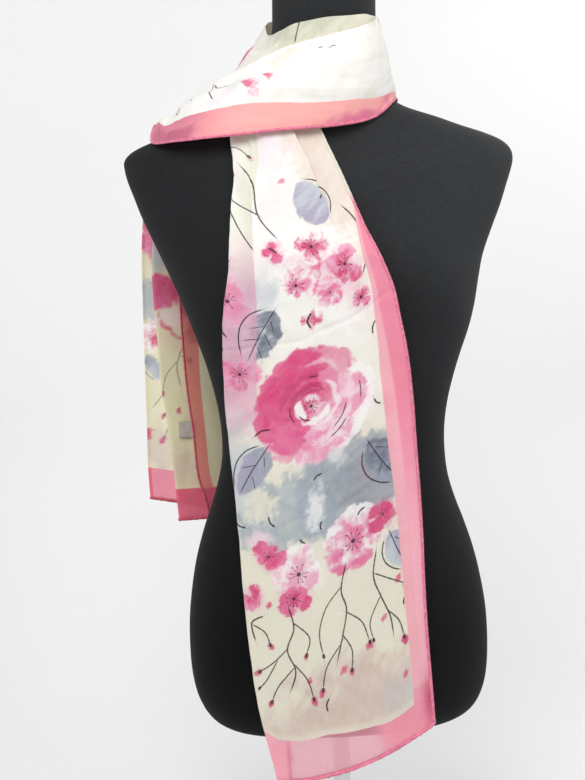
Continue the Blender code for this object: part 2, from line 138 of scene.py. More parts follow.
def smooth(low, high, value):  # 0 below low, 1 above high
    t = np.clip((value - low) / (high - low), 0, 1)
    return t * t * (3 - 2 * t)


def stepAt(edge, width, value):
    return smooth(edge - width / 2, edge + width / 2, value)


def bustReach(x, z):
    return bust["reach"] * np.exp(-((np.abs(x) - bust["x"]) / bust["spread"]) ** 2
                                  - ((z - bust["z"]) / bust["spread"]) ** 2)


def formDepth(x, z, side):  # side is the column of the form rows: 2 front, 3 back
    half = np.interp(z, formRows[:, 0], formRows[:, 1])
    share = np.clip(np.abs(x) / half, 0, 0.999)
    depth = np.interp(z, formRows[:, 0], formRows[:, side])
    depth = depth * (1 - share ** sectionPower) ** (1 / sectionPower)
    return depth + bustReach(x, z) if side == 2 else depth


def hangLine(levels, left, right, side):  # down the form, then straight from the fullest place
    across = np.linspace(left, right, 13)
    depths = np.maximum.accumulate([formDepth(across, z, side).max() for z in levels])
    soft = [max(d, depths[max(i - 4, 0):i + 5].mean()) for i, d in enumerate(depths)]
    return np.array(soft)


def hangingRows(table, solidRows, heights, span, side, count):  # evenly spaced rows of a hanging sheet
    last = len(table) - 1
    coarse = curveRows(table, np.linspace(0, last, solidRows))
    reach = hangLine(coarse[:, heights[0]], *span, side)
    middle = coarse[:, heights].mean(axis=1)
    even = np.interp(np.linspace(middle[0], middle[-1], count), middle[::-1], np.arange(solidRows)[::-1])
    rows = curveRows(table, even * last / (solidRows - 1))
    return rows, curveRows(reach[:, None], even), (even / (solidRows - 1))[:, None]


def lengthAlong(points, axis):  # running length of the lines of a grid
    gaps = np.linalg.norm(np.diff(points, axis=axis), axis=2)
    pad = [(0, 0), (0, 0)]
    pad[axis] = (1, 0)
    return np.pad(np.cumsum(gaps, axis=axis), pad)


def hangingPlaces(points):  # across and up from the end hem, in the flat cloth
    down = lengthAlong(points, 0)
    return lengthAlong(points, 1), down[-1:] - down


def cloud(u, v, size, seed, octaves=4):  # smooth unevenness, about -1 to 1
    dice = np.random.default_rng(seed)
    total, weight = 0.0, 0.0
    for k in range(octaves):
        rate = 2 * math.pi / size * 1.83 ** k
        a, b, c, d = dice.uniform(0, 2 * math.pi, 4)
        bent = 1.4 * np.sin(0.63 * rate * (v * math.cos(b) - u * math.sin(b)) + d)
        total = total + np.sin(rate * (u * math.cos(a) + v * math.sin(a)) + c + bent) / 1.6 ** k
        weight += 1 / 1.6 ** k
    return total / weight * 1.5


def gridNormals(points):
    down = np.gradient(points, axis=0)
    over = np.gradient(points, axis=1)
    normal = np.cross(over, down)
    return normal / np.maximum(np.linalg.norm(normal, axis=2, keepdims=True), 1e-9)


def creaseLift(u, v, creases):  # soft ridges (+) and troughs (-) in the flat cloth
    lift = np.zeros_like(u)
    for u0, v0, u1, v1, height, width in creases:
        run = np.array([u1 - u0, v1 - v0]) / 1000
        along = ((u - u0 / 1000) * run[0] + (v - v0 / 1000) * run[1]) / (run @ run)
        side = (u - u0 / 1000) * run[1] - (v - v0 / 1000) * run[0]
        side = side / math.hypot(*run) + 0.0012 * np.sin(9 * along + u0)
        ends = smooth(-0.15, 0.25, along) * (1 - smooth(0.7, 1.15, along))
        lift += height / 1000 * ends * np.exp(-(side / (width / 1000)) ** 2)
    return lift


def meshFromGrid(name, points, wrapRound=False):
    rows, columns = points.shape[:2]
    corner = np.arange(rows * columns).reshape(rows, columns)
    if wrapRound:
        corner = np.hstack([corner, corner[:, :1]])
    quads = np.stack([corner[:-1, :-1], corner[:-1, 1:], corner[1:, 1:], corner[1:, :-1]], -1)
    mesh = bpy.data.meshes.new(name)
    mesh.from_pydata(points.reshape(-1, 3).tolist(), [], quads.reshape(-1, 4).tolist())
    mesh.shade_smooth()
    return mesh


def addPiece(name, mesh, material):
    piece = bpy.data.objects.new(name, mesh)
    bpy.context.scene.collection.objects.link(piece)
    mesh.materials.append(material)
    return piece


def addFaces(mesh, faces):  # closes a mesh with more faces and turns them all outward
    shape = bmesh.new()
    shape.from_mesh(mesh)
    shape.verts.ensure_lookup_table()
    for corners in faces:
        shape.faces.new([shape.verts[k] for k in corners])
    bmesh.ops.recalc_face_normals(shape, faces=shape.faces)
    shape.to_mesh(mesh)
    shape.free()
    mesh.shade_smooth()


def closeRings(mesh, count):  # fills the first and last ring of a round grid
    total = len(mesh.vertices)
    addFaces(mesh, [range(count)[::-1], range(total - count, total)])


def keepClear(points, surface, gap):  # moves what is too near the form out along its normal
    flatPoints = points.reshape(-1, 3)
    gaps = np.broadcast_to(gap, points.shape[:2]).reshape(-1)
    for k, point in enumerate(flatPoints):
        place, normal, _, _ = surface.find_nearest(Vector(point))
        if place is not None and (Vector(point) - place).dot(normal) < gaps[k]:
            flatPoints[k] = place + normal * gaps[k]
    return flatPoints.reshape(points.shape)


# node helpers
class Nodes:  # short way to write a material's node tree
    def __init__(self, name):
        self.material = bpy.data.materials.new(name)
        self.material.use_nodes = True
        self.tree = self.material.node_tree
        self.tree.nodes.clear()
        self.out = self.tree.nodes.new("ShaderNodeOutputMaterial")

    def put(self, socket, value):
        if isinstance(value, bpy.types.NodeSocket):
            self.tree.links.new(value, socket)
        elif value is not None:
            if socket.type == 'RGBA' and len(value) == 3:
                value = (*value, 1.0)
            socket.default_value = value

    def add(self, kind, inputs=None, **settings):
        node = self.tree.nodes.new("ShaderNode" + kind)
        for key, value in settings.items():
            setattr(node, key, value)
        for key, value in (inputs or {}).items():
            self.put(node.inputs[key], value)
        return node

    def math(self, operation, a, b=None, c=None):
        node = self.tree.nodes.new("ShaderNodeMath")
        node.operation = operation
        for socket, value in zip(node.inputs, (a, b, c)):
            self.put(socket, value)
        return node.outputs[0]

    def ramp(self, value, low, high, first=0.0, last=1.0):
        node = self.add("MapRange", {0: value, 1: low, 2: high, 3: first, 4: last})
        return node.outputs[0]

    def mix(self, share, a, b, blend='MIX'):
        node = self.add("Mix", data_type='RGBA', blend_type=blend)
        self.put(node.inputs[0], share)
        self.put(node.inputs[6], a)
        self.put(node.inputs[7], b)
        return node.outputs[2]

    def noise(self, where, scale, detail=3.0, rough=0.5):
        node = self.add("TexNoise", {"Vector": where, "Scale": scale, "Detail": detail, "Roughness": rough})
        return node.outputs[0]

    def stretched(self, where, scale):
        return self.add("Mapping", {"Vector": where, "Scale": scale}).outputs[0]

    def times(self, *values):
        product = values[0]
        for value in values[1:]:
            product = self.math('MULTIPLY', product, value)
        return product

    def place(self):  # the piece's own coordinates
        return self.add("TexCoord").outputs["Object"]

    def bump(self, height, distance, strength=1.0):
        return self.add("Bump", {"Height": height, "Distance": distance, "Strength": strength}).outputs[0]

    def finish(self, shader):
        self.put(self.out.inputs[0], shader.outputs[0])
        return self.material

    def attribute(self, name, output="Vector"):
        return self.add("Attribute", attribute_name=name).outputs[output]


# camera
camera = dict(distance=1.35, height=0.61, azimuth=-5.0, roll=2.2, tilt=3.96, aside=-0.037,
              lens=80.0, sensor=36.0)


def placeCamera():
    turn, roll = math.radians(camera["azimuth"]), math.radians(camera["roll"])
    reach = camera["distance"]
    eye = Vector((math.sin(turn) * reach, -math.cos(turn) * reach, camera["height"]))
    drop = reach * math.tan(math.radians(camera["tilt"]))
    aim = Vector((camera["aside"] * math.cos(turn), camera["aside"] * math.sin(turn), eye.z - drop))
    ahead = (aim - eye).normalized()
    right = ahead.cross(Vector((0, 0, 1))).normalized()
    up = right.cross(ahead)
    across = right * math.cos(roll) - up * math.sin(roll)
    upward = right * math.sin(roll) + up * math.cos(roll)
    lens = bpy.data.cameras.new("camera")
    lens.sensor_fit = 'HORIZONTAL'
    lens.sensor_width = camera["sensor"]
    lens.lens = camera["lens"]
    eyePiece = bpy.data.objects.new("camera", lens)
    bpy.context.scene.collection.objects.link(eyePiece)
    frameMatrix = Matrix((across, upward, -ahead)).transposed().to_4x4()
    frameMatrix.translation = eye
    eyePiece.matrix_world = frameMatrix
    bpy.context.scene.camera = eyePiece


placeCamera()
print("camera set")

# studio: pale paper sweep on a wide floor, soft light
studio = dict(floorTone=(0.80, 0.80, 0.80), front=-3.0, back=0.95, top=3.2, radius=0.45, bendSteps=12,
              width=6.0, floorReach=40.0, floorDrop=0.002, worldTone=(0.97, 0.98, 1.0), worldLight=0.48)
# place, aim, size, power, colour
lamps = (
    ((-0.35, -1.20, 1.75), (0.0, 0.0, 0.66), 1.0, 19.8, (1.0, 0.99, 0.975)),
    ((1.10, -1.10, 1.45), (0.0, 0.0, 0.66), 0.9, 10.5, (0.98, 0.98, 1.0)),
    ((-1.35, -0.40, 1.05), (-0.1, 0.05, 0.55), 0.8, 4.6, (0.98, 0.99, 1.0)),
    ((0.95, 0.70, 1.30), (0.1, 0.05, 0.60), 0.8, 5.5, (1.0, 0.99, 0.98)),
)


def buildStudio():
    look = Nodes("studio_paper")
    where = look.place()
    tone = look.noise(where, 2.0, 2.0)
    colour = look.mix(tone, studio["floorTone"], [c * 1.06 for c in studio["floorTone"]])
    paper = look.add("BsdfPrincipled", {"Base Color": colour, "Roughness": 0.9})
    clear = look.add("BsdfTransparent", {"Color": (1.0, 1.0, 1.0)})
    rear = look.add("NewGeometry").outputs["Backfacing"]  # clear from behind
    sheet = look.add("MixShader", {0: rear, 1: paper.outputs[0], 2: clear.outputs[0]})
    look.finish(sheet)
    back, radius, half = studio["back"], studio["radius"], studio["width"] / 2
    profile = [(studio["front"], 0.0), (back - radius, 0.0)]
    for k in range(1, studio["bendSteps"] + 1):
        angle = math.pi / 2 * k / studio["bendSteps"]
        profile.append((back - radius + radius * math.sin(angle), radius * (1 - math.cos(angle))))
    profile.append((back, studio["top"]))
    points = np.array([[(-half, y, z), (half, y, z)] for y, z in profile])
    sweep = addPiece("studio_sweep", meshFromGrid("studio_sweep", points), look.material)
    far, low = studio["floorReach"], -studio["floorDrop"]
    corners = np.array([[(-far, y, low), (far, y, low)] for y in (-far, far)])
    floor = addPiece("studio_floor", meshFromGrid("studio_floor", corners), look.material)
    world = bpy.data.worlds.new("studio_light")
    world.use_nodes = True
    air = world.node_tree.nodes["Background"]
    air.inputs[0].default_value = (*studio["worldTone"], 1.0)
    air.inputs[1].default_value = studio["worldLight"]
    bpy.context.scene.world = world
    for k, (place, aim, size, power, tone) in enumerate(lamps):
        light = bpy.data.lights.new(f"softbox_{k + 1}", 'AREA')
        light.shape = 'SQUARE'
        light.size = size
        light.energy = power
        light.color = tone
        lamp = bpy.data.objects.new(light.name, light)
        bpy.context.scene.collection.objects.link(lamp)
        lamp.location = place
        lamp.rotation_euler = (Vector(aim) - Vector(place)).to_track_quat('-Z', 'Y').to_euler()
    bpy.context.scene.view_settings.view_transform = 'Standard'


buildStudio()
print("studio built")

# form cover
jersey = dict(tone=linear(24, 25, 26), sheen=0.03, ringSteps=4, segments=128, capRings=5, capRise=0.0012)


def jerseyMaterial():
    look = Nodes("black_jersey_cover")
    where = look.place()
    rib = look.add("TexWave", {"Vector": look.stretched(where, (900, 900, 620)), "Scale": 1.0,
                               "Distortion": 1.2, "Detail": 1.0})
    place = look.add("SeparateXYZ", {0: where})
    fuzz = look.noise(where, 240.0, 4.0, 0.6)
    patch = look.noise(where, 9.0, 3.0)
    tone = look.mix(look.ramp(patch, 0.3, 0.7), jersey["tone"] * 0.88, jersey["tone"] * 1.14)
    tone = look.mix(look.ramp(fuzz, 0.35, 0.75, 0.0, 0.5), tone, jersey["tone"] * 1.7)
    paintedLight = look.times(look.ramp(place.outputs[2], 0.26, 0.74, 0.36, 1.85),
                       look.ramp(place.outputs[0], -0.12, 0.14, 0.68, 1.55))
    paintedLightTone = look.add("CombineColor", {k: paintedLight for k in range(3)})  # painted light: the cover is lighter toward the top and the right and darker at the hips, as if lit from above right
    tone = look.mix(1.0, tone, paintedLightTone.outputs[0], 'MULTIPLY')
    relief = look.math('ADD', look.times(rib.outputs["Fac"], 0.5), fuzz)
    normal = look.bump(relief, 0.0003, 0.5)
    shader = look.add("BsdfPrincipled", {
        "Base Color": tone, "Roughness": look.ramp(fuzz, 0.2, 0.8, 0.74, 0.9),
        "Sheen Weight": jersey["sheen"], "Sheen Roughness": 0.45, "Specular IOR Level": 0.09,
        "Normal": normal})
    return look.finish(shader)


def buildForm():
    last = len(formRows) - 1
    rows = curveRows(formRows, np.linspace(0, last, last * jersey["ringSteps"] + 1))
    angle = 2 * math.pi * np.arange(jersey["segments"]) / jersey["segments"]
    c, s = np.cos(angle)[None, :], np.sin(angle)[None, :]
    z, half, front, back, shift = [rows[:, k:k + 1] for k in range(5)]
    power = 2 / sectionPower
    x = half * np.sign(c) * np.abs(c) ** power
    y = np.where(s > 0, back, front) * np.sign(s) * np.abs(s) ** power
    y = y - np.where(s < 0, bustReach(x, z) * np.minimum(1, -s * 1.6), 0)
    points = np.stack([x + shift, y, np.broadcast_to(z, x.shape)], -1)
    rounds, closing = jersey["capRings"], 0.985
    for end, rise in ((0, 0.0), (-1, jersey["capRise"])):  # the base and the neck's cap close in soft rings
        edge = points[end]
        middle = edge.mean(axis=0)
        caps = []
        for k in range(1, rounds + 1):
            ring = middle + (edge - middle) * (1 - (k / rounds) ** 1.5 * closing)
            ring[:, 2] += rise * math.sin(math.pi / 2 * k / rounds)
            caps.append(ring)
        points = np.concatenate([points, caps] if end else [caps[::-1], points])
    mesh = meshFromGrid("form_cover", points, wrapRound=True)
    closeRings(mesh, jersey["segments"])
    cover = addPiece("form_cover", mesh, jerseyMaterial())
    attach(cover, "root")
    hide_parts("dress_form")
    return BVHTree.FromPolygons([v.co for v in mesh.vertices], [p.vertices for p in mesh.polygons])


formSurface = buildForm()
print("form cover built")


# printed chiffon
chiffon = dict(border=linear(255, 184, 198), cream=linear(238, 234, 217), white=linear(253, 252, 250),
               reverse=linear(234, 228, 195),
               borderOpacity=0.80, creamOpacity=0.94, glow=0.30, roughness=0.62, sheen=0.22,
               ink=linear(50, 44, 48), threadPitch=0.00055)
strokeChannels = ("strokeA", "strokeB", "strokeC")


def chiffonMaterial(name, inkShare):
    look = Nodes(name)
    flat = look.add("UVMap", uv_map="flat").outputs[0]
    dye = look.attribute("dye", "Color")
    inset = look.attribute("inset", "Fac")
    # pigment settles unevenly in the weave
    speckle = look.noise(flat, 520.0, 3.0, 0.65)
    pool = look.noise(flat, 60.0, 4.0, 0.55)
    tone = look.mix(look.ramp(pool, 0.3, 0.75, 0.0, 0.10), dye, (1.0, 1.0, 1.0))
    tone = look.mix(look.ramp(speckle, 0.25, 0.8, 0.0, 0.12), tone, look.mix(1.0, tone, tone, 'MULTIPLY'))
    # thin drawn lines, each channel holds distance, place along and width of its nearest stroke
    inked = strokeMask(look, strokeChannels[0], flat)
    for channel in strokeChannels[1:]:
        inked = look.math('MAXIMUM', inked, strokeMask(look, channel, flat))
    inked = look.math('MAXIMUM', inked, stamenMask(look))
    inkTone = look.mix(look.noise(flat, 90.0, 2.0), chiffon["ink"] * 0.5, chiffon["ink"] * 1.5)
    tone = look.mix(look.times(inked, inkShare), tone, inkTone)
    # border on the outside of the print
    edge = look.math('ADD', inset, look.ramp(look.noise(flat, 260.0, 2.0), 0.3, 0.7, -0.0002, 0.0002))
    inside = look.ramp(edge, -0.0003, 0.0003)
    rim = look.attribute("rim", "Color")  # the border's own tone, its opacity in the alpha
    borderTone = look.mix(look.ramp(pool, 0.25, 0.75, 0.0, 0.13), rim, look.mix(1.0, rim, rim, 'MULTIPLY'))
    tone = look.mix(inside, borderTone, tone)
    normal = look.bump(weaveHeight(look, flat), 0.00012, 0.55)
    opacity = look.ramp(inside, 0.0, 1.0, look.attribute("rim", "Alpha"), chiffon["creamOpacity"])
    opacity = look.math('ADD', opacity, look.ramp(look.noise(flat, 900.0, 1.0), 0.3, 0.7, -0.05, 0.05))
    solid = look.add("BsdfPrincipled", {
        "Base Color": tone, "Roughness": chiffon["roughness"], "Sheen Weight": chiffon["sheen"],
        "Sheen Roughness": 0.35, "Specular IOR Level": 0.3, "Normal": normal})
    through = look.add("BsdfTranslucent", {"Color": tone, "Normal": normal})
    lit = look.add("MixShader", {0: chiffon["glow"], 1: solid.outputs[0], 2: through.outputs[0]})
    clear = look.add("BsdfTransparent", {"Color": (1.0, 1.0, 1.0)})
    shader = look.add("MixShader", {0: opacity, 1: clear.outputs[0], 2: lit.outputs[0]})
    return look.finish(shader)


def weaveHeight(look, flat):  # plain weave of fine crepe threads, a little uneven
    crepe = look.noise(look.stretched(flat, (1500, 620, 1)), 1.0, 3.0, 0.6)
    heights = []
    for axis in ('X', 'Y'):
        wave = look.add("TexWave", {"Vector": flat, "Scale": 1 / (chiffon["threadPitch"] * math.pi),
                                    "Distortion": 0.6, "Detail": 1.0}, bands_direction=axis)
        heights.append(wave.outputs["Fac"])
    woven = look.math('MAXIMUM', heights[0], heights[1])
    return look.math('ADD', look.times(woven, 0.6), crepe)


def strokeMask(look, name, flat):
    parts = look.add("SeparateXYZ", {0: look.attribute(name)})
    away, place, width = parts.outputs
    shake = look.ramp(look.noise(flat, 330.0, 2.0), 0.25, 0.75, 0.72, 1.25)
    ends = look.times(look.ramp(place, -0.01, 0.06), look.ramp(place, 1.01, 0.90))
    half = look.times(look.times(width, 0.5), look.times(ends, shake))
    gap = look.math('SUBTRACT', half, look.math('ABSOLUTE', away))
    return look.times(look.ramp(gap, -0.00025, 0.0002), look.math('GREATER_THAN', width, 0.0002))


def stamenMask(look):  # dark heart, fine rays and dots round a blossom's middle
    parts = look.add("SeparateXYZ", {0: look.attribute("heart")})
    x, y, seed = parts.outputs
    reach = look.math('SQRT', look.math('ADD', look.times(x, x), look.times(y, y)))
    angle = look.math('ARCTAN2', y, x)
    rays = 11
    turned = look.math('MULTIPLY_ADD', angle, rays / (2 * math.pi), seed)
    cell = look.math('FLOOR', turned)
    chance = look.add("TexWhiteNoise", {"W": look.math('ADD', cell, seed)}, noise_dimensions='1D').outputs[0]
    swing = look.math('SUBTRACT', look.math('FRACT', turned), look.ramp(chance, 0, 1, 0.36, 0.64))
    side = look.times(look.math('ABSOLUTE', swing), reach)
    length = look.ramp(chance, 0.0, 1.0, 0.34, 0.62)
    tip = look.ramp(reach, length, look.math('SUBTRACT', length, 0.05))
    kept = look.math('GREATER_THAN', chance, 0.28)  # some rays are missing
    ray = look.times(look.ramp(side, 0.050, 0.025), tip, kept, look.ramp(reach, 0.16, 0.24))
    fromTip = look.math('SUBTRACT', reach, look.math('ADD', length, 0.05))
    dot = look.math('ADD', look.times(fromTip, fromTip), look.times(side, side, 0.9))
    dot = look.times(look.ramp(dot, 0.0060, 0.0030), kept)
    heart = look.ramp(reach, 0.17, 0.11)
    marks = look.math('MAXIMUM', look.math('MAXIMUM', look.times(ray, 0.75), dot), heart)
    return look.times(marks, look.math('GREATER_THAN', seed, 0.5))


# painting the print on the flat cloth, colours are laid one over another
white, cream = chiffon["white"], chiffon["cream"]
magenta, rose, blush = linear(222, 56, 124), linear(236, 112, 164), linear(242, 172, 202)
pale, peach, beige = linear(250, 226, 236), linear(236, 217, 204), linear(218, 194, 184)
mauve, lilac, bud = linear(196, 150, 176), linear(176, 168, 194), linear(214, 58, 122)
grey, slate, mist = linear(158, 166, 180), linear(112, 120, 138), linear(200, 208, 216)
mistBlue, shade = linear(168, 180, 192), linear(228, 231, 206)


class Painting:  # colours of one cloth's points and the strokes drawn on it, places in millimetres
    def __init__(self, u, v, ground):
        self.u, self.v = u, v
        self.dye = np.broadcast_to(ground, u.shape + (3,)).copy()
        self.rim = np.broadcast_to(chiffon["border"], u.shape + (3,)).copy()
        self.cover = np.full(u.shape, chiffon["borderOpacity"])
        self.strokes, self.hearts = [], []

    def near(self, centre, turn, reach):  # the points round a place, with their own turned coordinates
        du, dv = self.u * 1000 - centre[0], self.v * 1000 - centre[1]
        spots = np.nonzero(np.hypot(du, dv) < reach)
        du, dv = du[spots], dv[spots]
        c, s = math.cos(turn), math.sin(turn)
        return spots, du * c + dv * s, -du * s + dv * c, self.u[spots], self.v[spots]

    def lay(self, spots, mask, colour):
        mask = np.clip(mask, 0, 1)[:, None]
        self.dye[spots] = self.dye[spots] * (1 - mask) + colour * mask

    def tint(self, mask, colour, cover):  # the border's tone and opacity, by a mask over the whole cloth
        self.rim += mask[..., None] * (colour - self.rim)
        self.cover += mask * (cover - self.cover)

    def rimWash(self, centre, size, colour, strength=0.8, turn=0.0, edge=0.3, cover=None):
        spots, x, y, u, v = self.near(centre, turn, max(size) * 1.35)
        far = np.hypot(x / size[0], y / size[1]) + 0.10 * cloud(u, v, min(size) / 700, 5, 2)
        mask = (1 - smooth(edge, 1.05, far)) * strength
        self.rim[spots] += mask[:, None] * (colour - self.rim[spots])
        if cover is not None:
            self.cover[spots] += mask * (cover - self.cover[spots])

    def wash(self, centre, size, colour, strength=0.8, turn=0.0, seed=1, edge=0.55, rim=0.0):
        spots, x, y, u, v = self.near(centre, turn, max(size) * 1.35)
        grain = min(size) / 1000
        far = np.hypot(x / size[0], y / size[1]) + 0.20 * cloud(u, v, grain * 1.1, seed)
        far = far + 0.07 * cloud(u, v, grain * 0.3, seed + 2)
        mask = 1 - smooth(edge, 1.05, far)
        self.lay(spots, mask * strength * (0.88 + 0.12 * cloud(u, v, 0.02, seed + 9)), colour)
        if rim:  # pigment gathered where the wash dried
            band = smooth(edge - 0.08, edge + 0.12, far) * (1 - smooth(edge + 0.12, edge + 0.3, far))
            self.lay(spots, band * rim, colour * 0.72)

    def petal(self, root, turn, length, width, inner, outer, seed, strength=0.95, light=0.0, blunt=0.62):
        spots, x, y, u, v = self.near(root, turn, max(length, width) * 1.15)
        along = x / length
        half = width / 2 * np.sin(math.pi * np.clip(along, 0.001, 0.999) ** (1 / blunt)) ** 0.55
        gap = (half * (1 + 0.20 * cloud(u, v, length / 1500, seed)) - np.abs(y)) / width
        tip = 1 - smooth(0.92, 1.0, along + 0.07 * cloud(u, v, length / 2200, seed + 1))
        mask = smooth(-0.02, 0.07, gap) * smooth(-0.03, 0.05, along) * tip
        streak = 0.12 * np.sin(y / width * 22 + 3 * cloud(u, v, 0.02, seed + 3)) * along
        flow = smooth(0.05, 0.95, along + streak + 0.30 * cloud(u, v, length / 1300, seed + 5))[:, None]
        self.lay(spots, mask * strength, inner * (1 - flow) + outer * flow)
        if light:  # paler rim, it parts one petal from the next
            self.lay(spots, mask * (1 - smooth(0.01, 0.10, gap)) * light, pale)

    def crescent(self, centre, radius, middle, sweep, width, colour, strength=0.9, seed=1):
        spots, x, y, u, v = self.near(centre, middle, radius + width)
        away = np.arctan2(y, x) / sweep
        thick = width * np.sqrt(np.clip(1 - away ** 2, 0, 1)) * (1 + 0.3 * cloud(u, v, width / 300, seed, 2))
        wavy = radius * (1 + 0.06 * cloud(u, v, radius / 700, seed + 1, 2))
        gap = thick / 2 - np.abs(np.hypot(x, y) - wavy)
        self.lay(spots, smooth(-0.7, 1.6, gap) * strength, colour)

    def blossom(self, centre, radius, turn, inner, outer, seed, petals=5, blots=2, stamens=0.62):
        dice = np.random.default_rng(seed)
        self.wash(centre, (radius * 1.25, radius * 1.1), outer, 0.5, turn, seed + 3, 0.2)
        for k in range(petals):
            angle = turn + 2 * math.pi * k / petals + dice.uniform(-0.3, 0.3)
            long = radius * dice.uniform(0.66, 1.18)
            pair = (outer, inner) if dice.random() < 0.3 else (inner, outer)
            self.petal(centre, angle, long, long * dice.uniform(0.78, 1.05), *pair, seed * 7 + k, 0.92, 0.35)
        for k in range(blots):  # wet drops of the stronger colour
            angle, far = dice.uniform(0, 6.28), radius * dice.uniform(0.15, 0.7)
            place = (centre[0] + far * math.cos(angle), centre[1] + far * math.sin(angle))
            size = radius * dice.uniform(0.20, 0.40)
            self.wash(place, (size, size * 0.7), inner, 0.85, angle, seed * 3 + k, 0.55, 0.15)
        self.wash(centre, (radius * 0.42, radius * 0.36), inner, 0.7, turn, seed + 5, 0.2)
        if stamens:
            self.hearts.append((centre[0], centre[1], radius * stamens, seed % 7 + 1.0))

    def peony(self, centre, radius, turn, seed):  # deep on one side, washed out on the other
        dice = np.random.default_rng(seed)
        cx, cy = centre
        # size, petals, width, place out from the middle
        for ring, (size, count, wide, out) in enumerate((
                (1.02, 8, 0.82, 0.06), (0.90, 7, 0.78, 0.06), (0.76, 7, 0.66, 0.06), (0.60, 6, 0.62, 0.05),
                (0.46, 5, 0.60, 0.05), (0.33, 5, 0.56, 0.03))):
            for k in range(count):
                angle = turn + 0.55 * ring + 2 * math.pi * k / count + dice.uniform(-0.2, 0.2)
                side = 0.5 + 0.5 * math.cos(angle - turn) + 0.05 * ring + dice.uniform(-0.1, 0.1)
                depth = float(smooth(0.22, 0.66, side))
                strong = magenta if (ring + k) % 3 else magenta * 0.5 + rose * 0.5
                inner = blush * (1 - depth) + strong * depth
                outer = (white if ring < 2 else pale) * (1 - depth) + (strong * 0.72 + rose * 0.28) * depth
                if ring % 2 and depth < 0.4:
                    inner, outer = outer, blush * 0.6 + rose * 0.4
                root = (cx + radius * out * math.cos(angle), cy + radius * out * math.sin(angle))
                self.petal(root, angle, radius * size * dice.uniform(0.88, 1.05), radius * size * wide,
                           inner, outer, seed * 13 + ring * 17 + k, 0.92, 0.34 - 0.22 * depth, 0.58)
            if ring in (1, 3):  # wet colour run together over the petals
                place = (cx + radius * 0.34 * math.cos(turn), cy + radius * 0.34 * math.sin(turn))
                self.wash(place, (radius * 0.60, radius * 0.52), magenta, 0.62, turn, seed + 90 + ring, 0.25)
        # folds of the cup, pale where light comes through
        for far, middle, sweep, width, colour, strength in (
                (0.50, 0.3, 1.0, 0.12, magenta * 0.86, 0.8), (0.42, 2.5, 1.0, 0.12, white, 0.7),
                (0.30, 0.5, 1.3, 0.13, magenta * 0.80, 0.85), (0.27, 3.7, 1.1, 0.13, white, 0.95),
                (0.20, 5.4, 0.9, 0.14, white, 0.95), (0.14, 1.2, 1.2, 0.10, pale, 0.9),
                (0.66, 4.5, 0.7, 0.09, rose, 0.7), (0.72, 1.3, 0.5, 0.07, pale, 0.5),
                (0.80, -0.5, 0.5, 0.10, magenta, 0.6)):
            self.crescent(centre, radius * far, turn + middle, sweep, radius * width, colour, strength,
                          seed + int(far * 100))
        self.hearts.append((cx, cy, radius * 0.20, seed % 7 + 1.0))
        for far, angle, long in ((0.60, 2.7, 0.7), (0.70, 3.1, 0.5), (0.36, 5.0, 0.8), (0.50, 0.9, 0.3),
                                 (0.24, 4.2, 0.9), (0.84, 2.3, 0.35)):  # loose drawn arcs
            arc = [(cx + radius * far * math.cos(turn + angle + long * t),
                    cy + radius * far * math.sin(turn + angle + long * t) * 0.94) for t in (0, 0.5, 1)]
            self.stroke(arc, dice.uniform(0.9, 1.3))

    def leaf(self, root, tip, width, dark, light, seed, veins):
        span = np.array(tip, float) - np.array(root, float)
        length, turn = math.hypot(*span), math.atan2(span[1], span[0])
        spots, x, y, u, v = self.near(root, turn, length * 1.1)
        along = np.clip(x / length, 0.001, 0.999)
        half = width / 2 * np.sin(math.pi * along ** 0.85) ** 0.7
        gap = (half * (1 + 0.12 * cloud(u, v, 0.02, seed)) - np.abs(y)) / width
        mask = smooth(-0.02, 0.05, gap) * smooth(0, 0.02, x / length) * (1 - smooth(0.98, 1, x / length))
        flow = smooth(-0.8, 1.0, y / width * 1.6 + (along - 0.5) + 0.7 * cloud(u, v, 0.022, seed + 2))
        flow = flow[:, None]
        self.lay(spots, mask * 0.95, dark * (1 - flow) + light * flow)
        ahead, side = span / length, np.array((-span[1], span[0])) / length
        start = np.array(root, float)
        if veins:
            self.stroke([start - ahead * 3, start + ahead * length * 0.5 + side * width * 0.05,
                         start + ahead * length * 0.97], 1.0)
        for k in range(veins):
            foot = start + ahead * length * (0.18 + 0.62 * k / veins)
            spread = width * 0.36 * math.sin(math.pi * (0.22 + 0.6 * k / veins))
            lean = side * (1 if k % 2 else -1)
            self.stroke([foot + lean * 1.5, foot + lean * spread * 0.6 + ahead * 4,
                         foot + lean * spread + ahead * 8], 0.75)
        edge = []  # one side drawn a little off the paint
        for t in (0.06, 0.25, 0.5, 0.75, 0.94):
            out = width * 0.55 * math.sin(math.pi * t ** 0.85) ** 0.7 + 2
            edge.append(start + ahead * length * t + side * out)
        self.stroke(edge, 1.25)

    def stroke(self, points, width):
        self.strokes.append((np.array(points, float) / 1000, width / 1000))

    def bud(self, place, turn, length, colour):
        centre = (place[0] + length * 0.45 * math.cos(turn), place[1] + length * 0.45 * math.sin(turn))
        self.wash(centre, (length * 0.66, length * 0.46), colour, 1.0, turn, int(sum(place)) % 89, 0.78, 0.2)

    def twig(self, stem, width, shoots=()):  # a stem, its side shoots end in buds
        self.stroke(stem, width)
        for shoot, size, colour in shoots:
            self.stroke(shoot, width * 0.85)
            last, ahead = np.array(shoot[-1], float), np.array(shoot[-1], float) - np.array(shoot[-2], float)
            ahead /= math.hypot(*ahead)
            if size:
                self.bud(shoot[-1], math.atan2(ahead[1], ahead[0]), size, colour)
            self.stroke([last - ahead * 1.5, last + ahead * 0.8, last + ahead * 3.0], 2.6)


def each(draw, *rows):  # one call of a painting function for each row
    for row in rows:
        draw(*row)


def strokeLine(points):  # rounds a stroke's few points into a fine line
    last = len(points) - 1
    return curveRows(points, np.linspace(0, last, last * 7 + 1)) if last > 1 else points


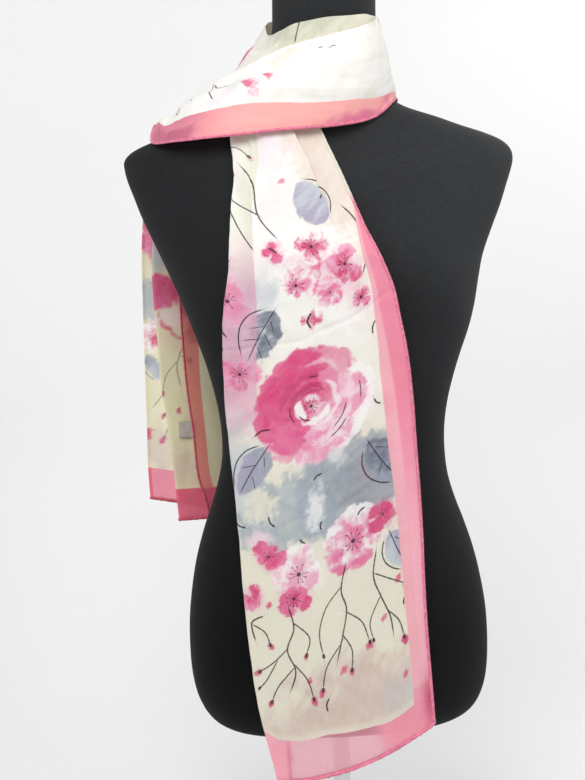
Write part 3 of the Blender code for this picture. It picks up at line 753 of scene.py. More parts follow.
def strokeField(u, v, lines):  # distance, place along and width of the nearest stroke of a channel
    best = np.full(u.shape, 1.0)
    field = np.zeros(u.shape + (3,))
    owner = np.full(u.shape, -1)
    reach = 0.006
    for number, (points, width) in enumerate(lines):
        low, high = points.min(axis=0) - reach, points.max(axis=0) + reach
        near = (u > low[0]) & (u < high[0]) & (v > low[1]) & (v < high[1])
        if not near.any():
            continue
        pu, pv = u[near], v[near]
        spans = np.diff(points, axis=0)
        lengths = np.maximum(np.hypot(*spans.T), 1e-9)
        starts = np.concatenate([[0], np.cumsum(lengths)])
        nearest, value = np.full(pu.shape, 1.0), np.zeros(pu.shape + (3,))
        final = len(spans) - 1
        for k, (start, span, length) in enumerate(zip(points[:-1], spans, lengths)):
            du, dv = pu - start[0], pv - start[1]
            along = (du * span[0] + dv * span[1]) / length
            side = (dv * span[0] - du * span[1]) / length
            held = np.clip(along, 0.0 if k else -np.inf, np.inf if k == final else length)
            far = np.hypot(along - held, side)
            sure = np.hypot(along - np.clip(along, 0, length), side)
            closer = sure < nearest
            nearest = np.where(closer, sure, nearest)
            value[closer, 0] = np.where(side < 0, -far, far)[closer]
            value[closer, 1] = ((starts[k] + held) / starts[-1])[closer]
            value[closer, 2] = width
        win = (nearest < best[near]) & (nearest < reach)
        spots = np.argwhere(near)[win]
        rows, columns = spots[:, 0], spots[:, 1]
        best[rows, columns] = nearest[win]
        field[rows, columns] = value[win]
        owner[rows, columns] = number
    mixed = np.zeros(u.shape, bool)  # cells between two strokes hold neither
    for a, b in ((np.s_[:-1, :], np.s_[1:, :]), (np.s_[:, :-1], np.s_[:, 1:]),
                 (np.s_[:-1, :-1], np.s_[1:, 1:]), (np.s_[1:, :-1], np.s_[:-1, 1:])):
        differ = owner[a] != owner[b]
        mixed[a] |= differ
        mixed[b] |= differ
    field[mixed, 2] = 0.0
    return field


def dealStrokes(strokes, channels, apart=0.0065):  # strokes of one channel stay clear of each other
    dealt = [[] for _ in range(channels)]
    for points, width in sorted(strokes, key=lambda s: -s[1] * len(s[0])):
        line = strokeLine(points)
        room = []
        for lines in dealt:
            gaps = [np.hypot(*(line[:, None] - other).transpose(2, 0, 1)).min() for other, _ in lines]
            room.append(min(gaps, default=1.0))
        best = int(np.argmax([min(r, apart) - 0.00001 * k for k, r in enumerate(room)]))
        if room[best] > apart * 0.55:
            dealt[best].append((line, width))
    return dealt


def heartField(u, v, hearts):  # each point's place in its nearest blossom's heart
    field = np.zeros(u.shape + (3,))
    nearest = np.full(u.shape, 1.6)
    for x, y, radius, seed in hearts:
        du, dv = (u - x / 1000) * 1000 / radius, (v - y / 1000) * 1000 / radius
        reach = np.hypot(du, dv)
        own = reach < nearest
        nearest[own] = reach[own]
        field[own] = np.stack([du, dv, np.where(reach < 0.85, seed, 0.0)], -1)[own]
    return field


def printCloth(mesh, painting, inset):  # stores the print on the cloth's points
    u, v = painting.u, painting.v
    flatSize = (u.max(), np.ptp(v))
    corners = np.empty(len(mesh.loops), int)
    mesh.loops.foreach_get("vertex_index", corners)
    spots = np.stack([u.ravel(), (v - v.min()).ravel()], -1)
    for name, scale in (("OFBake", np.array(flatSize)), ("flat", np.ones(2))):
        layer = mesh.uv_layers.new(name=name)
        layer.data.foreach_set("uv", (spots[corners] / scale).ravel())
    for name, tone, alpha in (("dye", painting.dye, np.ones(u.shape)), ("rim", painting.rim, painting.cover)):
        colour = np.clip(np.concatenate([tone, alpha[..., None]], -1), 0, 1)
        mesh.attributes.new(name, 'FLOAT_COLOR', 'POINT').data.foreach_set("color", colour.ravel())
    mesh.attributes.new("inset", 'FLOAT', 'POINT').data.foreach_set("value", inset.ravel())
    fields = [strokeField(u, v, lines) for lines in dealStrokes(painting.strokes, len(strokeChannels))]
    fields.append(heartField(u, v, painting.hearts))
    for name, field in zip((*strokeChannels, "heart"), fields):
        mesh.attributes.new(name, 'FLOAT_VECTOR', 'POINT').data.foreach_set("vector", field.ravel())


# rolled hems and their stitches
hem = dict(tone=linear(230, 122, 150), heavy=0.55, blend=0.006, pitch=0.0034, stitch=0.0017, thread=0.00028,
           sides=7, ringGap=0.0022, lean=0.22)


def threadMaterial(name, tone, scale=1.0, fade=None):  # fade is the height above which it is cream
    look = Nodes(name)
    where = look.place()
    twist = look.add("TexWave", {"Vector": where, "Scale": 900.0 * scale, "Distortion": 2.0, "Detail": 2.0},
                     bands_direction='DIAGONAL')
    uneven = look.noise(where, 260.0 * scale, 3.0, 0.6)
    colour = look.mix(look.ramp(uneven, 0.35, 0.68), tone * 0.66, tone * 1.12)
    if fade:
        level = look.add("SeparateXYZ", {0: where}).outputs[2]
        colour = look.mix(look.ramp(level, fade - 0.006, fade + 0.006), colour, chiffon["cream"] * 0.80)
    height = look.math('ADD', look.times(twist.outputs["Fac"], 0.5), uneven)
    shader = look.add("BsdfPrincipled", {
        "Base Color": colour, "Roughness": look.ramp(uneven, 0.2, 0.8, 0.5, 0.72), "Sheen Weight": 0.2,
        "Normal": look.bump(height, 0.0003, 0.6)})
    return look.finish(shader)


def spacedLine(points, gap):  # the same line with even steps
    points = np.asarray(points)
    run = np.concatenate([[0], np.cumsum(np.linalg.norm(np.diff(points, axis=0), axis=1))])
    places = np.linspace(0, run[-1], max(3, int(run[-1] / gap)))
    return np.stack([np.interp(places, run, points[:, k]) for k in range(3)], 1)


def heavyShare(heavyBelow, height):  # the roll is thicker along an end hem
    return smooth(heavyBelow + hem["blend"], heavyBelow - hem["blend"], height)


def rolledHem(lines, radius, seed, heavyBelow=0.0):  # closed tubes with small puckers, one for each line
    allPoints, faces = [], []
    sides = hem["sides"]
    for number, line in enumerate(lines):
        line = spacedLine(line, hem["ringGap"])
        ahead = np.gradient(line, axis=0)
        ahead /= np.linalg.norm(ahead, axis=1, keepdims=True)
        side = np.array((0.0, 1.0, 0.0)) if abs(ahead[0][1]) < 0.9 else np.array((1.0, 0.0, 0.0))
        dice = np.random.default_rng(seed + number)
        place = np.arange(len(line))
        heavy = heavyShare(heavyBelow, line[:, 2])
        swell = (0.13 + 0.12 * heavy) * np.sin(place * 1.9) * np.sin(place * 0.37 + 1)
        swell = swell + 0.14 * heavy * np.sin(place * 0.21 + number)
        swell = 1 + hem["heavy"] * heavy + swell + 0.05 * dice.standard_normal(len(line))
        swell[0] = swell[-1] = 0.35
        base = len(allPoints)
        for k, centre in enumerate(line):
            side = side - ahead[k] * (side @ ahead[k])
            side /= np.linalg.norm(side)
            other = np.cross(ahead[k], side)
            for s in range(sides):
                angle = 2 * math.pi * s / sides
                out = side * math.cos(angle) + other * math.sin(angle)
                allPoints.append(centre + radius * swell[k] * out)
        for k in range(len(line) - 1):
            for s in range(sides):
                a, b = base + k * sides + s, base + k * sides + (s + 1) % sides
                faces.append((a, b, b + sides, a + sides))
        faces.append(tuple(base + s for s in range(sides))[::-1])
        final = base + (len(line) - 1) * sides
        faces.append(tuple(final + s for s in range(sides)))
    return allPoints, faces


def stitchTree():  # stitches along edge lines, realized into one mesh
    tree = bpy.data.node_groups.new("hem_stitching", 'GeometryNodeTree')
    face = tree.interface
    face.new_socket("Geometry", in_out='INPUT', socket_type='NodeSocketGeometry')
    for name, size in (("Pitch", "pitch"), ("Stitch length", "stitch"), ("Thread radius", "thread")):
        face.new_socket(name, in_out='INPUT', socket_type='NodeSocketFloat').default_value = hem[size]
    face.new_socket("Seed", in_out='INPUT', socket_type='NodeSocketInt').default_value = 5
    face.new_socket("Thread", in_out='INPUT', socket_type='NodeSocketMaterial')
    face.new_socket("Geometry", in_out='OUTPUT', socket_type='NodeSocketGeometry')
    add = tree.nodes.new
    start, end = add("NodeGroupInput"), add("NodeGroupOutput")
    toCurve, spaced = add("GeometryNodeMeshToCurve"), add("GeometryNodeResampleCurve")
    spaced.mode = 'LENGTH'
    spot, place = add("GeometryNodeMeshCylinder"), add("GeometryNodeInstanceOnPoints")
    spot.inputs["Vertices"].default_value = 6
    along, align = add("GeometryNodeInputTangent"), add("FunctionNodeAlignRotationToVector")
    align.axis = 'Z'
    lean = add("FunctionNodeRandomValue")
    lean.data_type = 'FLOAT_VECTOR'
    lean.inputs[0].default_value = [-hem["lean"]] * 3
    lean.inputs[1].default_value = [hem["lean"]] * 3
    mixed = add("ShaderNodeVectorMath")
    mixed.operation = 'ADD'
    real, finish = add("GeometryNodeRealizeInstances"), add("GeometryNodeSetMaterial")
    for out, into in (
            (start.outputs["Geometry"], toCurve.inputs[0]), (toCurve.outputs[0], spaced.inputs[0]),
            (start.outputs["Pitch"], spaced.inputs["Length"]), (spaced.outputs[0], place.inputs["Points"]),
            (start.outputs["Thread radius"], spot.inputs["Radius"]),
            (start.outputs["Stitch length"], spot.inputs["Depth"]),
            (spot.outputs["Mesh"], place.inputs["Instance"]), (start.outputs["Seed"], lean.inputs["Seed"]),
            (along.outputs[0], mixed.inputs[0]), (lean.outputs[0], mixed.inputs[1]),
            (mixed.outputs[0], align.inputs["Vector"]), (align.outputs[0], place.inputs["Rotation"]),
            (place.outputs[0], real.inputs[0]), (real.outputs[0], finish.inputs["Geometry"]),
            (start.outputs["Thread"], finish.inputs["Material"]), (finish.outputs[0], end.inputs[0])):
        tree.links.new(out, into)
    return tree


def hemThreads(rollName, threadName, tone, fade=None):  # the roll and its darker, finer stitches
    return threadMaterial(rollName, tone, 1.0, fade), threadMaterial(threadName, tone * 0.68, 2.0, fade)


pinkThreads = hemThreads("rolled_hem_pink", "hem_thread_pink", hem["tone"])
labelThread = threadMaterial("label_thread_grey", linear(188, 182, 176), 2.0)
stitching = stitchTree()


def addStitches(name, lines, slot, thread, **sizes):
    points = [tuple(p) for line in lines for p in line]
    edges, base = [], 0
    for line in lines:
        edges += [(base + k, base + k + 1) for k in range(len(line) - 1)]
        base += len(line)
    mesh = bpy.data.meshes.new(name + "_path")
    mesh.from_pydata(points, edges, [])
    path = bpy.data.objects.new(name + "_path", mesh)
    bpy.context.scene.collection.objects.link(path)
    modifier = path.modifiers.new("stitching", 'NODES')
    modifier.node_group = stitching
    keys = {item.name: item.identifier for item in stitching.interface.items_tree if item.in_out == 'INPUT'}
    for label, value in {**sizes, "Thread": thread}.items():
        modifier[keys[label]] = value
    bpy.context.view_layer.update()
    ready = path.evaluated_get(bpy.context.evaluated_depsgraph_get())
    made = bpy.data.meshes.new_from_object(ready)
    path.modifiers.clear()
    bpy.data.objects.remove(path, do_unlink=True)
    made.name = name
    piece = bpy.data.objects.new(name, made)
    bpy.context.scene.collection.objects.link(piece)
    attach(piece, "root")
    return piece


def addHem(name, lines, outward, threads, heavyBelow=0.0):  # outward: a direction for each point of the lines
    roll, thread = threads
    points, faces = rolledHem(lines, cloth["hemRadius"], len(name), heavyBelow)
    mesh = bpy.data.meshes.new(name)
    mesh.from_pydata(points, [], faces)
    mesh.shade_smooth()
    piece = addPiece(name, mesh, roll)
    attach(piece, "root")
    lifted = []
    for line, out in zip(lines, outward):
        thick = 1 + hem["heavy"] * heavyShare(heavyBelow, line[:, 2:])
        lifted.append(line + out * cloth["hemRadius"] * thick)
    return [piece, addStitches(name.replace("hem", "stitches"), lifted, "printed_chiffon", thread)]


# front tail: a hairpin of two layers with its fold on the left
frontTail = dict(rows=520, solidRows=47, upper=146, fold=6, lower=28, flat=(0.355, 0.665), overhang=0.0042,
                 hangSpan=(-0.09, 0.05), bandAt=0.53, corner=0.006, cornerCut=0.0012, creaseShade=0.72,
                 # border widths seen on each layer, by height, and at the end hem, by distance from the fold
                 upperBorder=((0.0, 0.10, 0.20, 0.30, 0.36, 0.42, 0.465, 0.50, 0.53),
                              (0.018, 0.018, 0.0215, 0.0262, 0.0275, 0.0220, 0.0165, 0.0064, -0.004)),
                 lowerBorder=((0.0, 0.10, 0.18, 0.27, 0.36, 0.42, 0.47, 0.53),
                              (0.0095, 0.0095, 0.0115, 0.0135, 0.0175, 0.0178, 0.0120, -0.004)),
                 endBorder=((0.0, 0.006, 0.014, 0.032, 0.047, 0.062, 0.077, 0.109, 0.121, 0.143, 0.158),
                            (0.054, 0.048, 0.043, 0.0404, 0.0397, 0.0400, 0.0370, 0.0308, 0.0280, 0.0288,
                             0.0300)),
                 innerPink=linear(255, 190, 202), outerPink=linear(248, 158, 182),
                 lowerPink=linear(244, 150, 174), sheerPink=linear(248, 176, 192),
                 foldPink=linear(252, 176, 192), curlPink=linear(212, 106, 138),
                 densePink=linear(248, 170, 188), footPink=linear(255, 198, 212),
                 foldWidth=((0.0, 0.040), (0.0155, 0.0240)), hemPinkBelow=0.706,
                 heavyBelow=0.199)
# soft creases in the flat cloth, millimetres: across and height of both ends, lift, width
frontCreases = (
    (118, 660, 112, 520, 1.5, 7), (100, 655, 96, 500, -1.2, 6), (84, 650, 84, 470, 1.0, 8),
    (66, 655, 72, 540, -1.3, 6), (40, 650, 58, 560, 1.2, 7), (20, 640, 30, 560, -0.9, 6),
    (150, 560, 138, 400, 1.1, 10), (162, 500, 150, 330, -0.9, 8), (24, 560, 12, 430, 0.8, 8),
    (6, 470, 70, 380, 0.7, 12), (120, 330, 60, 250, -0.6, 16), (170, 300, 140, 150, 0.9, 10),
    (14, 380, 20, 220, 0.7, 9), (36, 300, 30, 90, -0.6, 12), (96, 220, 110, 60, 0.8, 16),
    (60, 120, 58, 8, 1.0, 11), (130, 110, 134, 6, -1.1, 10), (160, 90, 158, 4, 0.9, 8),
    (20, 80, 24, 3, 1.1, 9), (86, 70, 92, 3, -0.9, 9),
    # pressed across, left from packing
    (-6, 424, 92, 418, 0.85, 2.3), (92, 418, 184, 424, 0.85, 2.3), (-4, 205, 182, 208, 0.25, 2.4),
    # lower layer
    (330, 640, 318, 430, 1.0, 10), (250, 600, 262, 300, -0.8, 12), (300, 300, 290, 60, 0.9, 12),
    (220, 200, 228, 10, -0.9, 11), (340, 160, 336, 8, 0.8, 9),
)


def frontTailPoints():
    rows, reach, _ = hangingRows(frontTailRows, frontTail["solidRows"], [1, 3], frontTail["hangSpan"], 2,
                                 frontTail["rows"])
    xl, zl, xr, zr, pleat, pleatAt, turn, turnAt, wave = [rows[:, k:k + 1] for k in range(9)]
    step = cloth["layerStep"]

    def layer(u, back):
        u = u[None, :]
        width = xr - xl - cloth["upperInset"] * (1 - back)
        lip = pleat * stepAt(pleatAt / 2, pleatAt, u) * (1 - stepAt(pleatAt, cloth["pleatRun"], u))
        lip = lip * (1 - back)
        turned = turn * np.maximum(0, 1 - u / turnAt) ** 1.3
        soft = wave * np.sin(6.0 * u + 9.0 * zl)
        edge = 0.0011 * stepAt(turnAt * 0.9, 0.02, u) * (1 - back) * smooth(0.50, 0.62, zl)
        y = -(reach + cloth["restGap"] + step) + back * step - lip + turned + soft - edge
        over = frontTail["overhang"] * np.exp(-((u - pleatAt + 0.012) / 0.022) ** 2)
        over = over * smooth(0.001, 0.007, pleat)
        return np.stack([xl + width * u + over * (1 - back), y, zl + (zr - zl) * u ** cloth["hemCurve"]], -1)

    upper = layer(np.linspace(1, 0, frontTail["upper"]), 0)
    lower = layer(np.linspace(0, 1, frontTail["lower"]), 1)
    centre = (upper[:, -1] + lower[:, 0]) / 2
    angle = math.pi * np.arange(1, frontTail["fold"]) / frontTail["fold"]
    half = (lower[:, 0, 1] - upper[:, -1, 1])[:, None] / 2
    turn = np.stack([-half * np.sin(angle), -half * np.cos(angle), np.zeros((len(rows), len(angle)))], -1)
    creases = [(xr - xl)[:, 0] * share for share in (1 - pleatAt[:, 0], 1 - 0.9 * turnAt[:, 0])]
    return np.concatenate([upper, centre[:, None] + turn, lower], axis=1), creases


def frontBorders(u, v, whole):  # distance inside the border, inside its end part, and the lower width
    upper = np.interp(v, *frontTail["upperBorder"])
    lower = np.interp(v, *frontTail["lowerBorder"])
    side = np.where(u < whole / 2, u - upper, whole - u - lower)
    end = v - np.interp(np.abs(u - whole / 2), *frontTail["endBorder"])
    inner = np.maximum(side, 0) ** 2 + np.maximum(end, 0) ** 2
    corner = frontTail["cornerCut"] * np.exp(-inner / frontTail["corner"] ** 2)
    inset = np.minimum(side, end) - corner * smooth(0.10, 0.05, v)
    return np.where(v > frontTail["bandAt"], np.maximum(inset, 0.002), inset), end, lower


def tintFrontTail(p, whole, end, lower, creases):
    u, v = p.u, p.v
    shown = u < whole / 2
    onLower = 1 - smooth(-0.0006, 0.0010, u - lower + cloth["upperInset"])  # doubled over the lower border
    fold = np.abs(u - whole / 2)
    foot = smooth(0.048, 0.036, v)
    foldWidth = np.interp(v, *frontTail["foldWidth"])
    line = np.exp(-((fold - foldWidth + 0.0012) / 0.0020) ** 2) * 0.62
    curl = np.exp(-((u - 0.003) / 0.006) ** 2 - ((v - 0.026) / 0.024) ** 2) * shown
    for mask, tone, cover in (  # the border, doubled in places and sheer at the foot
            (np.where(shown, 1.0, 0.0), "innerPink", 0.80), (onLower * shown, "outerPink", 0.86),
            (onLower * shown * smooth(0.34, 0.16, v), "footPink", 0.88),
            (np.where(shown, 0.0, 1.0), "lowerPink", 0.80), (foot, "sheerPink", 0.46),
            (foot * smooth(0.104, 0.122, fold + 0.1 * v), "densePink", 0.84),
            (foot * stepAt(foldWidth, -0.0016, fold), "foldPink", 0.70), (foot * line, "curlPink", 0.7),
            (curl, "curlPink", 0.92)):
        p.tint(mask, frontTail[tone], cover)
    rim = (smooth(0.010, 0.0015, end) * smooth(-0.004, 0.0, end) * 0.7)[..., None]
    p.dye += rim * (cream * 0.97 - p.dye)
    # painted shade beside the pressed creases, away from or towards the fold: a peach shadow in the recess
    # right of the pleat, a greenish shade on the turned-back strip, and lower down a mauve tone on that
    # strip, partly its own print and partly painted shade
    free, left = creases
    for line, side, tone, reach, fade in (
            (free, 1, peach, 0.010, smooth(0.50, 0.60, v)),
            (left, -1, shade, 0.026, smooth(0.44, 0.54, v)),
            (left, -1, mauve * 0.4 + blush * 0.6, 0.034, smooth(0.34, 0.42, v) * smooth(0.56, 0.46, v))):
        past = (line[:, None] - u) * side
        mask = np.exp(-(np.maximum(past, 0) / reach) ** 1.5) * smooth(-0.0006, 0.0006, past) * fade
        mask = (mask * shown * frontTail["creaseShade"])[..., None]
        p.dye = p.dye * (1 - mask) + tone * 0.97 * mask


def buildFrontTail():
    points, creases = frontTailPoints()
    u, v = hangingPlaces(points)
    lift = creaseLift(u, v, frontCreases) + 0.0005 * cloud(u, v, 0.11, 4)
    points = points + gridNormals(points) * -lift[..., None]
    layers = np.concatenate([np.full(frontTail["upper"], 1.0), np.linspace(1, 0, frontTail["fold"] + 1)[1:-1],
                             np.zeros(frontTail["lower"])])
    gap = cloth["coverGap"] + 0.0004 + layers * (cloth["layerStep"] - 0.0008)
    points = keepClear(points, formSurface, gap[None, :])
    mesh = meshFromGrid("front_tail_cloth", points)
    whole = u[:, -1:]
    inset, end, lower = frontBorders(u, v, whole)
    painting = Painting(u, v, chiffon["cream"])
    paintFrontTail(painting)
    tintFrontTail(painting, whole, end, lower, creases)
    printCloth(mesh, painting, inset)
    tail = addPiece("front_tail_cloth", mesh, chiffonCloth)
    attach(tail, "root")
    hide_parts("front_tail")
    normals = -gridNormals(points)
    edges = np.concatenate([points[::4, 0], points[-1, 1:-1], points[::-4, -1]])
    out = np.concatenate([normals[::4, 0], normals[-1, 1:-1], normals[::-4, -1]])
    threads = hemThreads("front_hem_roll", "front_hem_thread", hem["tone"], frontTail["hemPinkBelow"])
    extras = addHem("front_tail_hem", [edges], [out], threads, frontTail["heavyBelow"])


def paintFrontTail(p):  # across from the free side, up from the end hem
    # grounds; the large white wash over the upper part is a painted highlight where the light is strongest,
    # and the peach wash at the top of the free side is painted shade on the section recessed behind the pleat
    each(p.wash, ((100, 560), (120, 190), white, 0.95, 0, 3, 0.60),
         ((80, 390), (120, 90), white, 0.6, 0, 5, 0.40),
         ((14, 600), (44, 130), peach, 0.75, 0.05, 6, 0.55),
         ((70, 610), (26, 34), pale, 0.55, 0.2, 7, 0.30), ((172, 600), (12, 70), cream, 0.75, 0, 8, 0.50),
         ((172, 424), (46, 124), mauve, 0.80, 0, 11, 0.20),
         ((164, 500), (30, 46), blush, 0.55, 0, 12, 0.15), ((160, 372), (26, 44), blush, 0.50, 0, 17, 0.20),
         ((174, 300), (34, 70), mist, 0.85, 0, 15, 0.3),
         ((126, 470), (26, 30), mist, 0.70, 0.3, 16, 0.25),
         ((74, 44), (130, 70), beige, 0.90, -0.06, 13, 0.48),
         ((26, 46), (34, 30), mist, 0.45, 0.3, 14, 0.35))
    # slate pool under the peony, with light windows
    each(p.wash, ((64, 272), (66, 52), grey, 0.92, 0.25, 21, 0.74, 0.22),
         ((122, 262), (60, 40), mistBlue, 0.88, -0.3, 22, 0.62, 0.20),
         ((52, 262), (42, 36), slate, 0.34, 0.5, 23, 0.45),
         ((36, 282), (24, 26), mauve, 0.35, 0.1, 26, 0.25),
         ((100, 256), (12, 30), white, 0.85, 0.15, 24, 0.25),
         ((76, 300), (14, 14), white, 0.60, 0.15, 27, 0.25),
         ((152, 270), (18, 22), cream, 0.95, 0.3, 25, 0.55),
         ((156, 238), (16, 12), pale, 0.80, 0.3, 28, 0.45))
    # leaves behind the peony
    each(p.leaf, ((116, 452), (152, 408), 36, slate, mist, 31, 5),
         ((140, 326), (172, 284), 30, grey, lilac, 32, 3),
         ((44, 300), (18, 252), 30, slate, grey, 33, 2),
         ((36, 516), (52, 566), 36, lilac, mist, 34, 0))
    p.peony((96, 354), 58, 0.7, 41)
    # spray of small blossoms above; the darker peach wash at the top is painted shadow under the band
    each(p.wash, ((170, 492), (20, 66), mauve * 0.5 + blush * 0.5, 0.62, 0, 86, 0.74),
         ((36, 644), (14, 30), peach * 0.80, 0.65, 0.1, 85, 0.2),
         ((66, 482), (36, 20), blush, 0.55, 0.3, 84, 0.2), ((44, 450), (24, 14), blush, 0.45, -0.4, 87, 0.2))
    each(p.petal, ((54, 486), -0.6, 36, 17, magenta, pale, 81, 0.9, 0.2),
         ((70, 478), 2.5, 30, 18, rose, pale, 82, 0.85, 0.2),
         ((50, 478), -2.1, 28, 15, rose, white, 83, 0.85))
    each(p.blossom, ((60, 500), 22, 0.3, magenta, white, 51, 5, 3),
         ((90, 470), 20, 1.1, rose, white, 52, 5, 2), ((36, 470), 20, 0.8, magenta, blush, 53, 4, 2),
         ((98, 508), 12, 0.1, magenta, rose, 54, 3, 1, 0), ((60, 452), 17, 0.5, rose, pale, 55, 5, 2, 0.42),
         ((32, 434), 14, 0.9, magenta, blush, 56, 4, 1, 0.85),
         ((84, 434), 15, 0.4, magenta, white, 60, 3, 2, 0), ((158, 468), 22, 0.2, rose, blush, 57, 5, 2),
         ((160, 398), 19, 0.7, magenta, blush, 58, 5, 2), ((164, 560), 15, 0.3, magenta, rose, 59, 5, 1, 0.7),
         ((166, 532), 12, 1.3, blush, white, 50, 4, 1, 0))
    # wide pale blossoms under the pool
    each(p.blossom, ((66, 214), 30, 0.6, rose, white, 61, 5, 3, 0.5),
         ((120, 200), 27, 0.2, blush, white, 62, 5, 2, 0.55), ((148, 222), 16, 0.9, magenta, rose, 63, 5, 1),
         ((126, 178), 17, 1.4, magenta, rose, 67, 5, 1, 0.75),
         ((36, 226), 17, 0.4, magenta, magenta, 64, 5, 1, 0.5),
         ((166, 184), 15, 0.1, magenta, blush, 65, 4, 2, 0))
    p.leaf((30, 206), (14, 164), 24, lilac, mist, 66, 1)
    # twigs
    p.twig([(74, 196), (80, 172), (76, 152), (82, 128), (90, 104)], 1.4, (
        ([(79, 176), (96, 160), (104, 138), (102, 116)], 0, bud),
        ([(77, 150), (62, 134), (56, 112)], 7, bud), ([(82, 130), (74, 112), (76, 94)], 6, bud),
        ([(84, 122), (100, 104), (106, 84)], 7, bud)))
    p.twig([(44, 196), (48, 172), (42, 150), (34, 126), (32, 104)], 1.35, (
        ([(47, 174), (30, 160), (18, 150)], 10, magenta), ([(42, 150), (54, 130), (52, 112)], 0, bud),
        ([(37, 134), (26, 118), (22, 100)], 8, bud)))
    p.twig([(132, 172), (128, 150), (136, 130), (130, 108), (138, 88)], 1.4, (
        ([(129, 156), (114, 138), (118, 122)], 5, bud), ([(135, 132), (150, 120), (164, 112)], 7, bud),
        ([(133, 118), (120, 98), (116, 78)], 7, bud), ([(131, 112), (148, 96), (156, 82)], 6, bud),
        ([(146, 122), (158, 104), (166, 96)], 0, bud)))
    p.twig([(156, 166), (168, 160), (166, 142)], 1.5, (([(167, 158), (156, 150), (152, 138)], 6, bud),))
    # stems above the blossoms
    p.twig([(88, 520), (98, 548), (94, 582), (102, 606)], 1.5, (
        ([(96, 546), (116, 566), (124, 578)], 11, rose),))
    p.twig([(150, 580), (160, 604), (156, 636)], 1.4, (
        ([(157, 598), (146, 622), (138, 644)], 0, bud), ([(152, 584), (166, 590), (172, 612)], 9, magenta)))
    p.twig([(112, 640), (106, 624), (110, 610)], 1.3, (([(108, 628), (96, 622), (90, 612)], 7, rose),))
    each(p.stroke, ([(24, 452), (10, 470), (6, 500), (14, 524)], 1.4),
         ([(82, 440), (87, 433), (85, 426)], 2.2), ([(100, 512), (94, 505)], 1.9),
         ([(124, 560), (119, 530), (115, 512)], 1.4))
    for x, y, turn, long in ((18, 404, 1.5, 16), (28, 396, 1.7, 12), (30, 330, 0.6, 9), (100, 284, 2.4, 10),
                             (140, 250, 0.8, 12), (20, 130, 1.6, 9), (96, 236, 1.4, 8), (168, 252, 0.4, 14),
                             (152, 338, 2.6, 16), (166, 434, 1.1, 12), (60, 236, 2.3, 9), (104, 62, 1.5, 13),
                             (20, 300, 1.2, 10), (112, 228, 0.5, 7), (148, 500, 2.0, 9), (34, 540, 2.2, 8)):
        p.stroke([(x, y), (x + long * 0.5 * math.cos(turn), y + long * 0.5 * math.sin(turn)),
                  (x + long * math.cos(turn + 0.3), y + long * math.sin(turn + 0.3))], 1.6)  # loose marks
    for x, y, size in ((142, 214, 5), (58, 108, 4), (24, 158, 5), (118, 96, 4), (84, 96, 5), (14, 214, 4),
                       (150, 176, 4), (40, 128, 4), (24, 64, 4), (112, 596, 4), (66, 574, 4)):
        p.wash((x, y), (size, size * 0.7), magenta, 0.9, x, x + 1, 0.7)  # drops
    for k, (x, y) in enumerate(((330, 452), (336, 400), (328, 330), (322, 280), (300, 420), (296, 300))):
        p.blossom((x, y), 17, k, magenta if k % 2 else rose, pale, 71 + k)  # lower layer
    p.wash((300, 250), (60, 90), mist, 0.8, 0.2, 79, 0.4)


chiffonCloth = chiffonMaterial("printed_chiffon_cloth", 0.94)
buildFrontTail()
print("front tail built")


# neck wrap: a folded ribbon that goes round the neck and over the shoulder
neckWrap = dict(rows=560, outer=84, fold=4, inner=34, innerStart=1.2, foldGap=0.0009, flat=(0.205, 0.88),
                # one more station, tucked further round under the band than the solid
                tuck=metres([(59.8, -15, 890.8, 61.2, -17, 848.5, 0.3)]),
                border=((0.0, 0.34, 0.40, 0.425, 0.45, 0.47, 0.50, 0.53, 0.56, 0.60, 0.64,
                         0.68, 0.695, 0.706, 0.718, 0.73, 0.75, 0.78, 0.80, 0.83, 0.86, 0.875),
                        (0.029, 0.026, 0.006, 0.005, 0.0105, 0.0165, 0.0225, 0.0235, 0.0250, 0.032, 0.034,
                         0.0335, 0.031, 0.022, 0.014, 0.007, 0.005, 0.014, 0.019, 0.017, 0.009, 0.002)),
                peach=linear(255, 192, 188), dusk=linear(226, 134, 160), wedge=linear(196, 108, 140),
                curl=linear(224, 104, 156))
wrapCreases = (  # across from the bottom hem, along from the end under the band
    (30, 470, 44, 640, 1.3, 7), (62, 480, 56, 700, 1.7, 6), (80, 520, 66, 760, -1.3, 6),
    (18, 560, 26, 760, -0.8, 6), (46, 640, 40, 800, 1.6, 6), (90, 560, 78, 700, 1.0, 5),
    (10, 640, 14, 760, 0.8, 5), (70, 690, 50, 860, 1.6, 7), (34, 760, 28, 900, -1.3, 7),
    (84, 790, 70, 900, 1.2, 8), (14, 830, 18, 930, 1.0, 7), (56, 860, 60, 935, -1.1, 6),
    (24, 250, 50, 420, 1.3, 8), (70, 230, 60, 400, -1.2, 7), (90, 280, 84, 440, 1.1, 7),
    (44, 200, 20, 330, -0.9, 8), (12, 300, 10, 450, 0.9, 7), (60, 120, 52, 260, 1.1, 8),
    (30, 60, 34, 200, -0.9, 7), (80, 420, 96, 520, -1.0, 6), (100, 330, 98, 470, 0.8, 5),
)


def neckWrapPoints():
    last = len(neckWrapRows)
    places = np.linspace(0, last, neckWrap["rows"])
    rows = curveRows(np.concatenate([neckWrap["tuck"], neckWrapRows]), places)
    share = np.clip((places - 1) / (last - 1), 0, 1)[:, None, None]
    top, bottom = rows[:, None, 0:3], rows[:, None, 3:6]
    along = np.gradient(rows[:, 0:3] + rows[:, 3:6], axis=0)[:, None]
    outward = np.cross(top - bottom, along)
    outward /= np.linalg.norm(outward, axis=2, keepdims=True)
    v = np.linspace(1, 0, neckWrap["outer"])[None, :, None]  # 1 at the bottom hem
    ripple = cloth["ripple"] * stepAt(0.60, 0.1, share)
    bulge = (rows[:, None, 6:7] + ripple * np.sin(11 * v + 5 * share)) * np.sin(math.pi * v)
    outer = top + (bottom - top) * v + outward * bulge
    return outer, outward, places


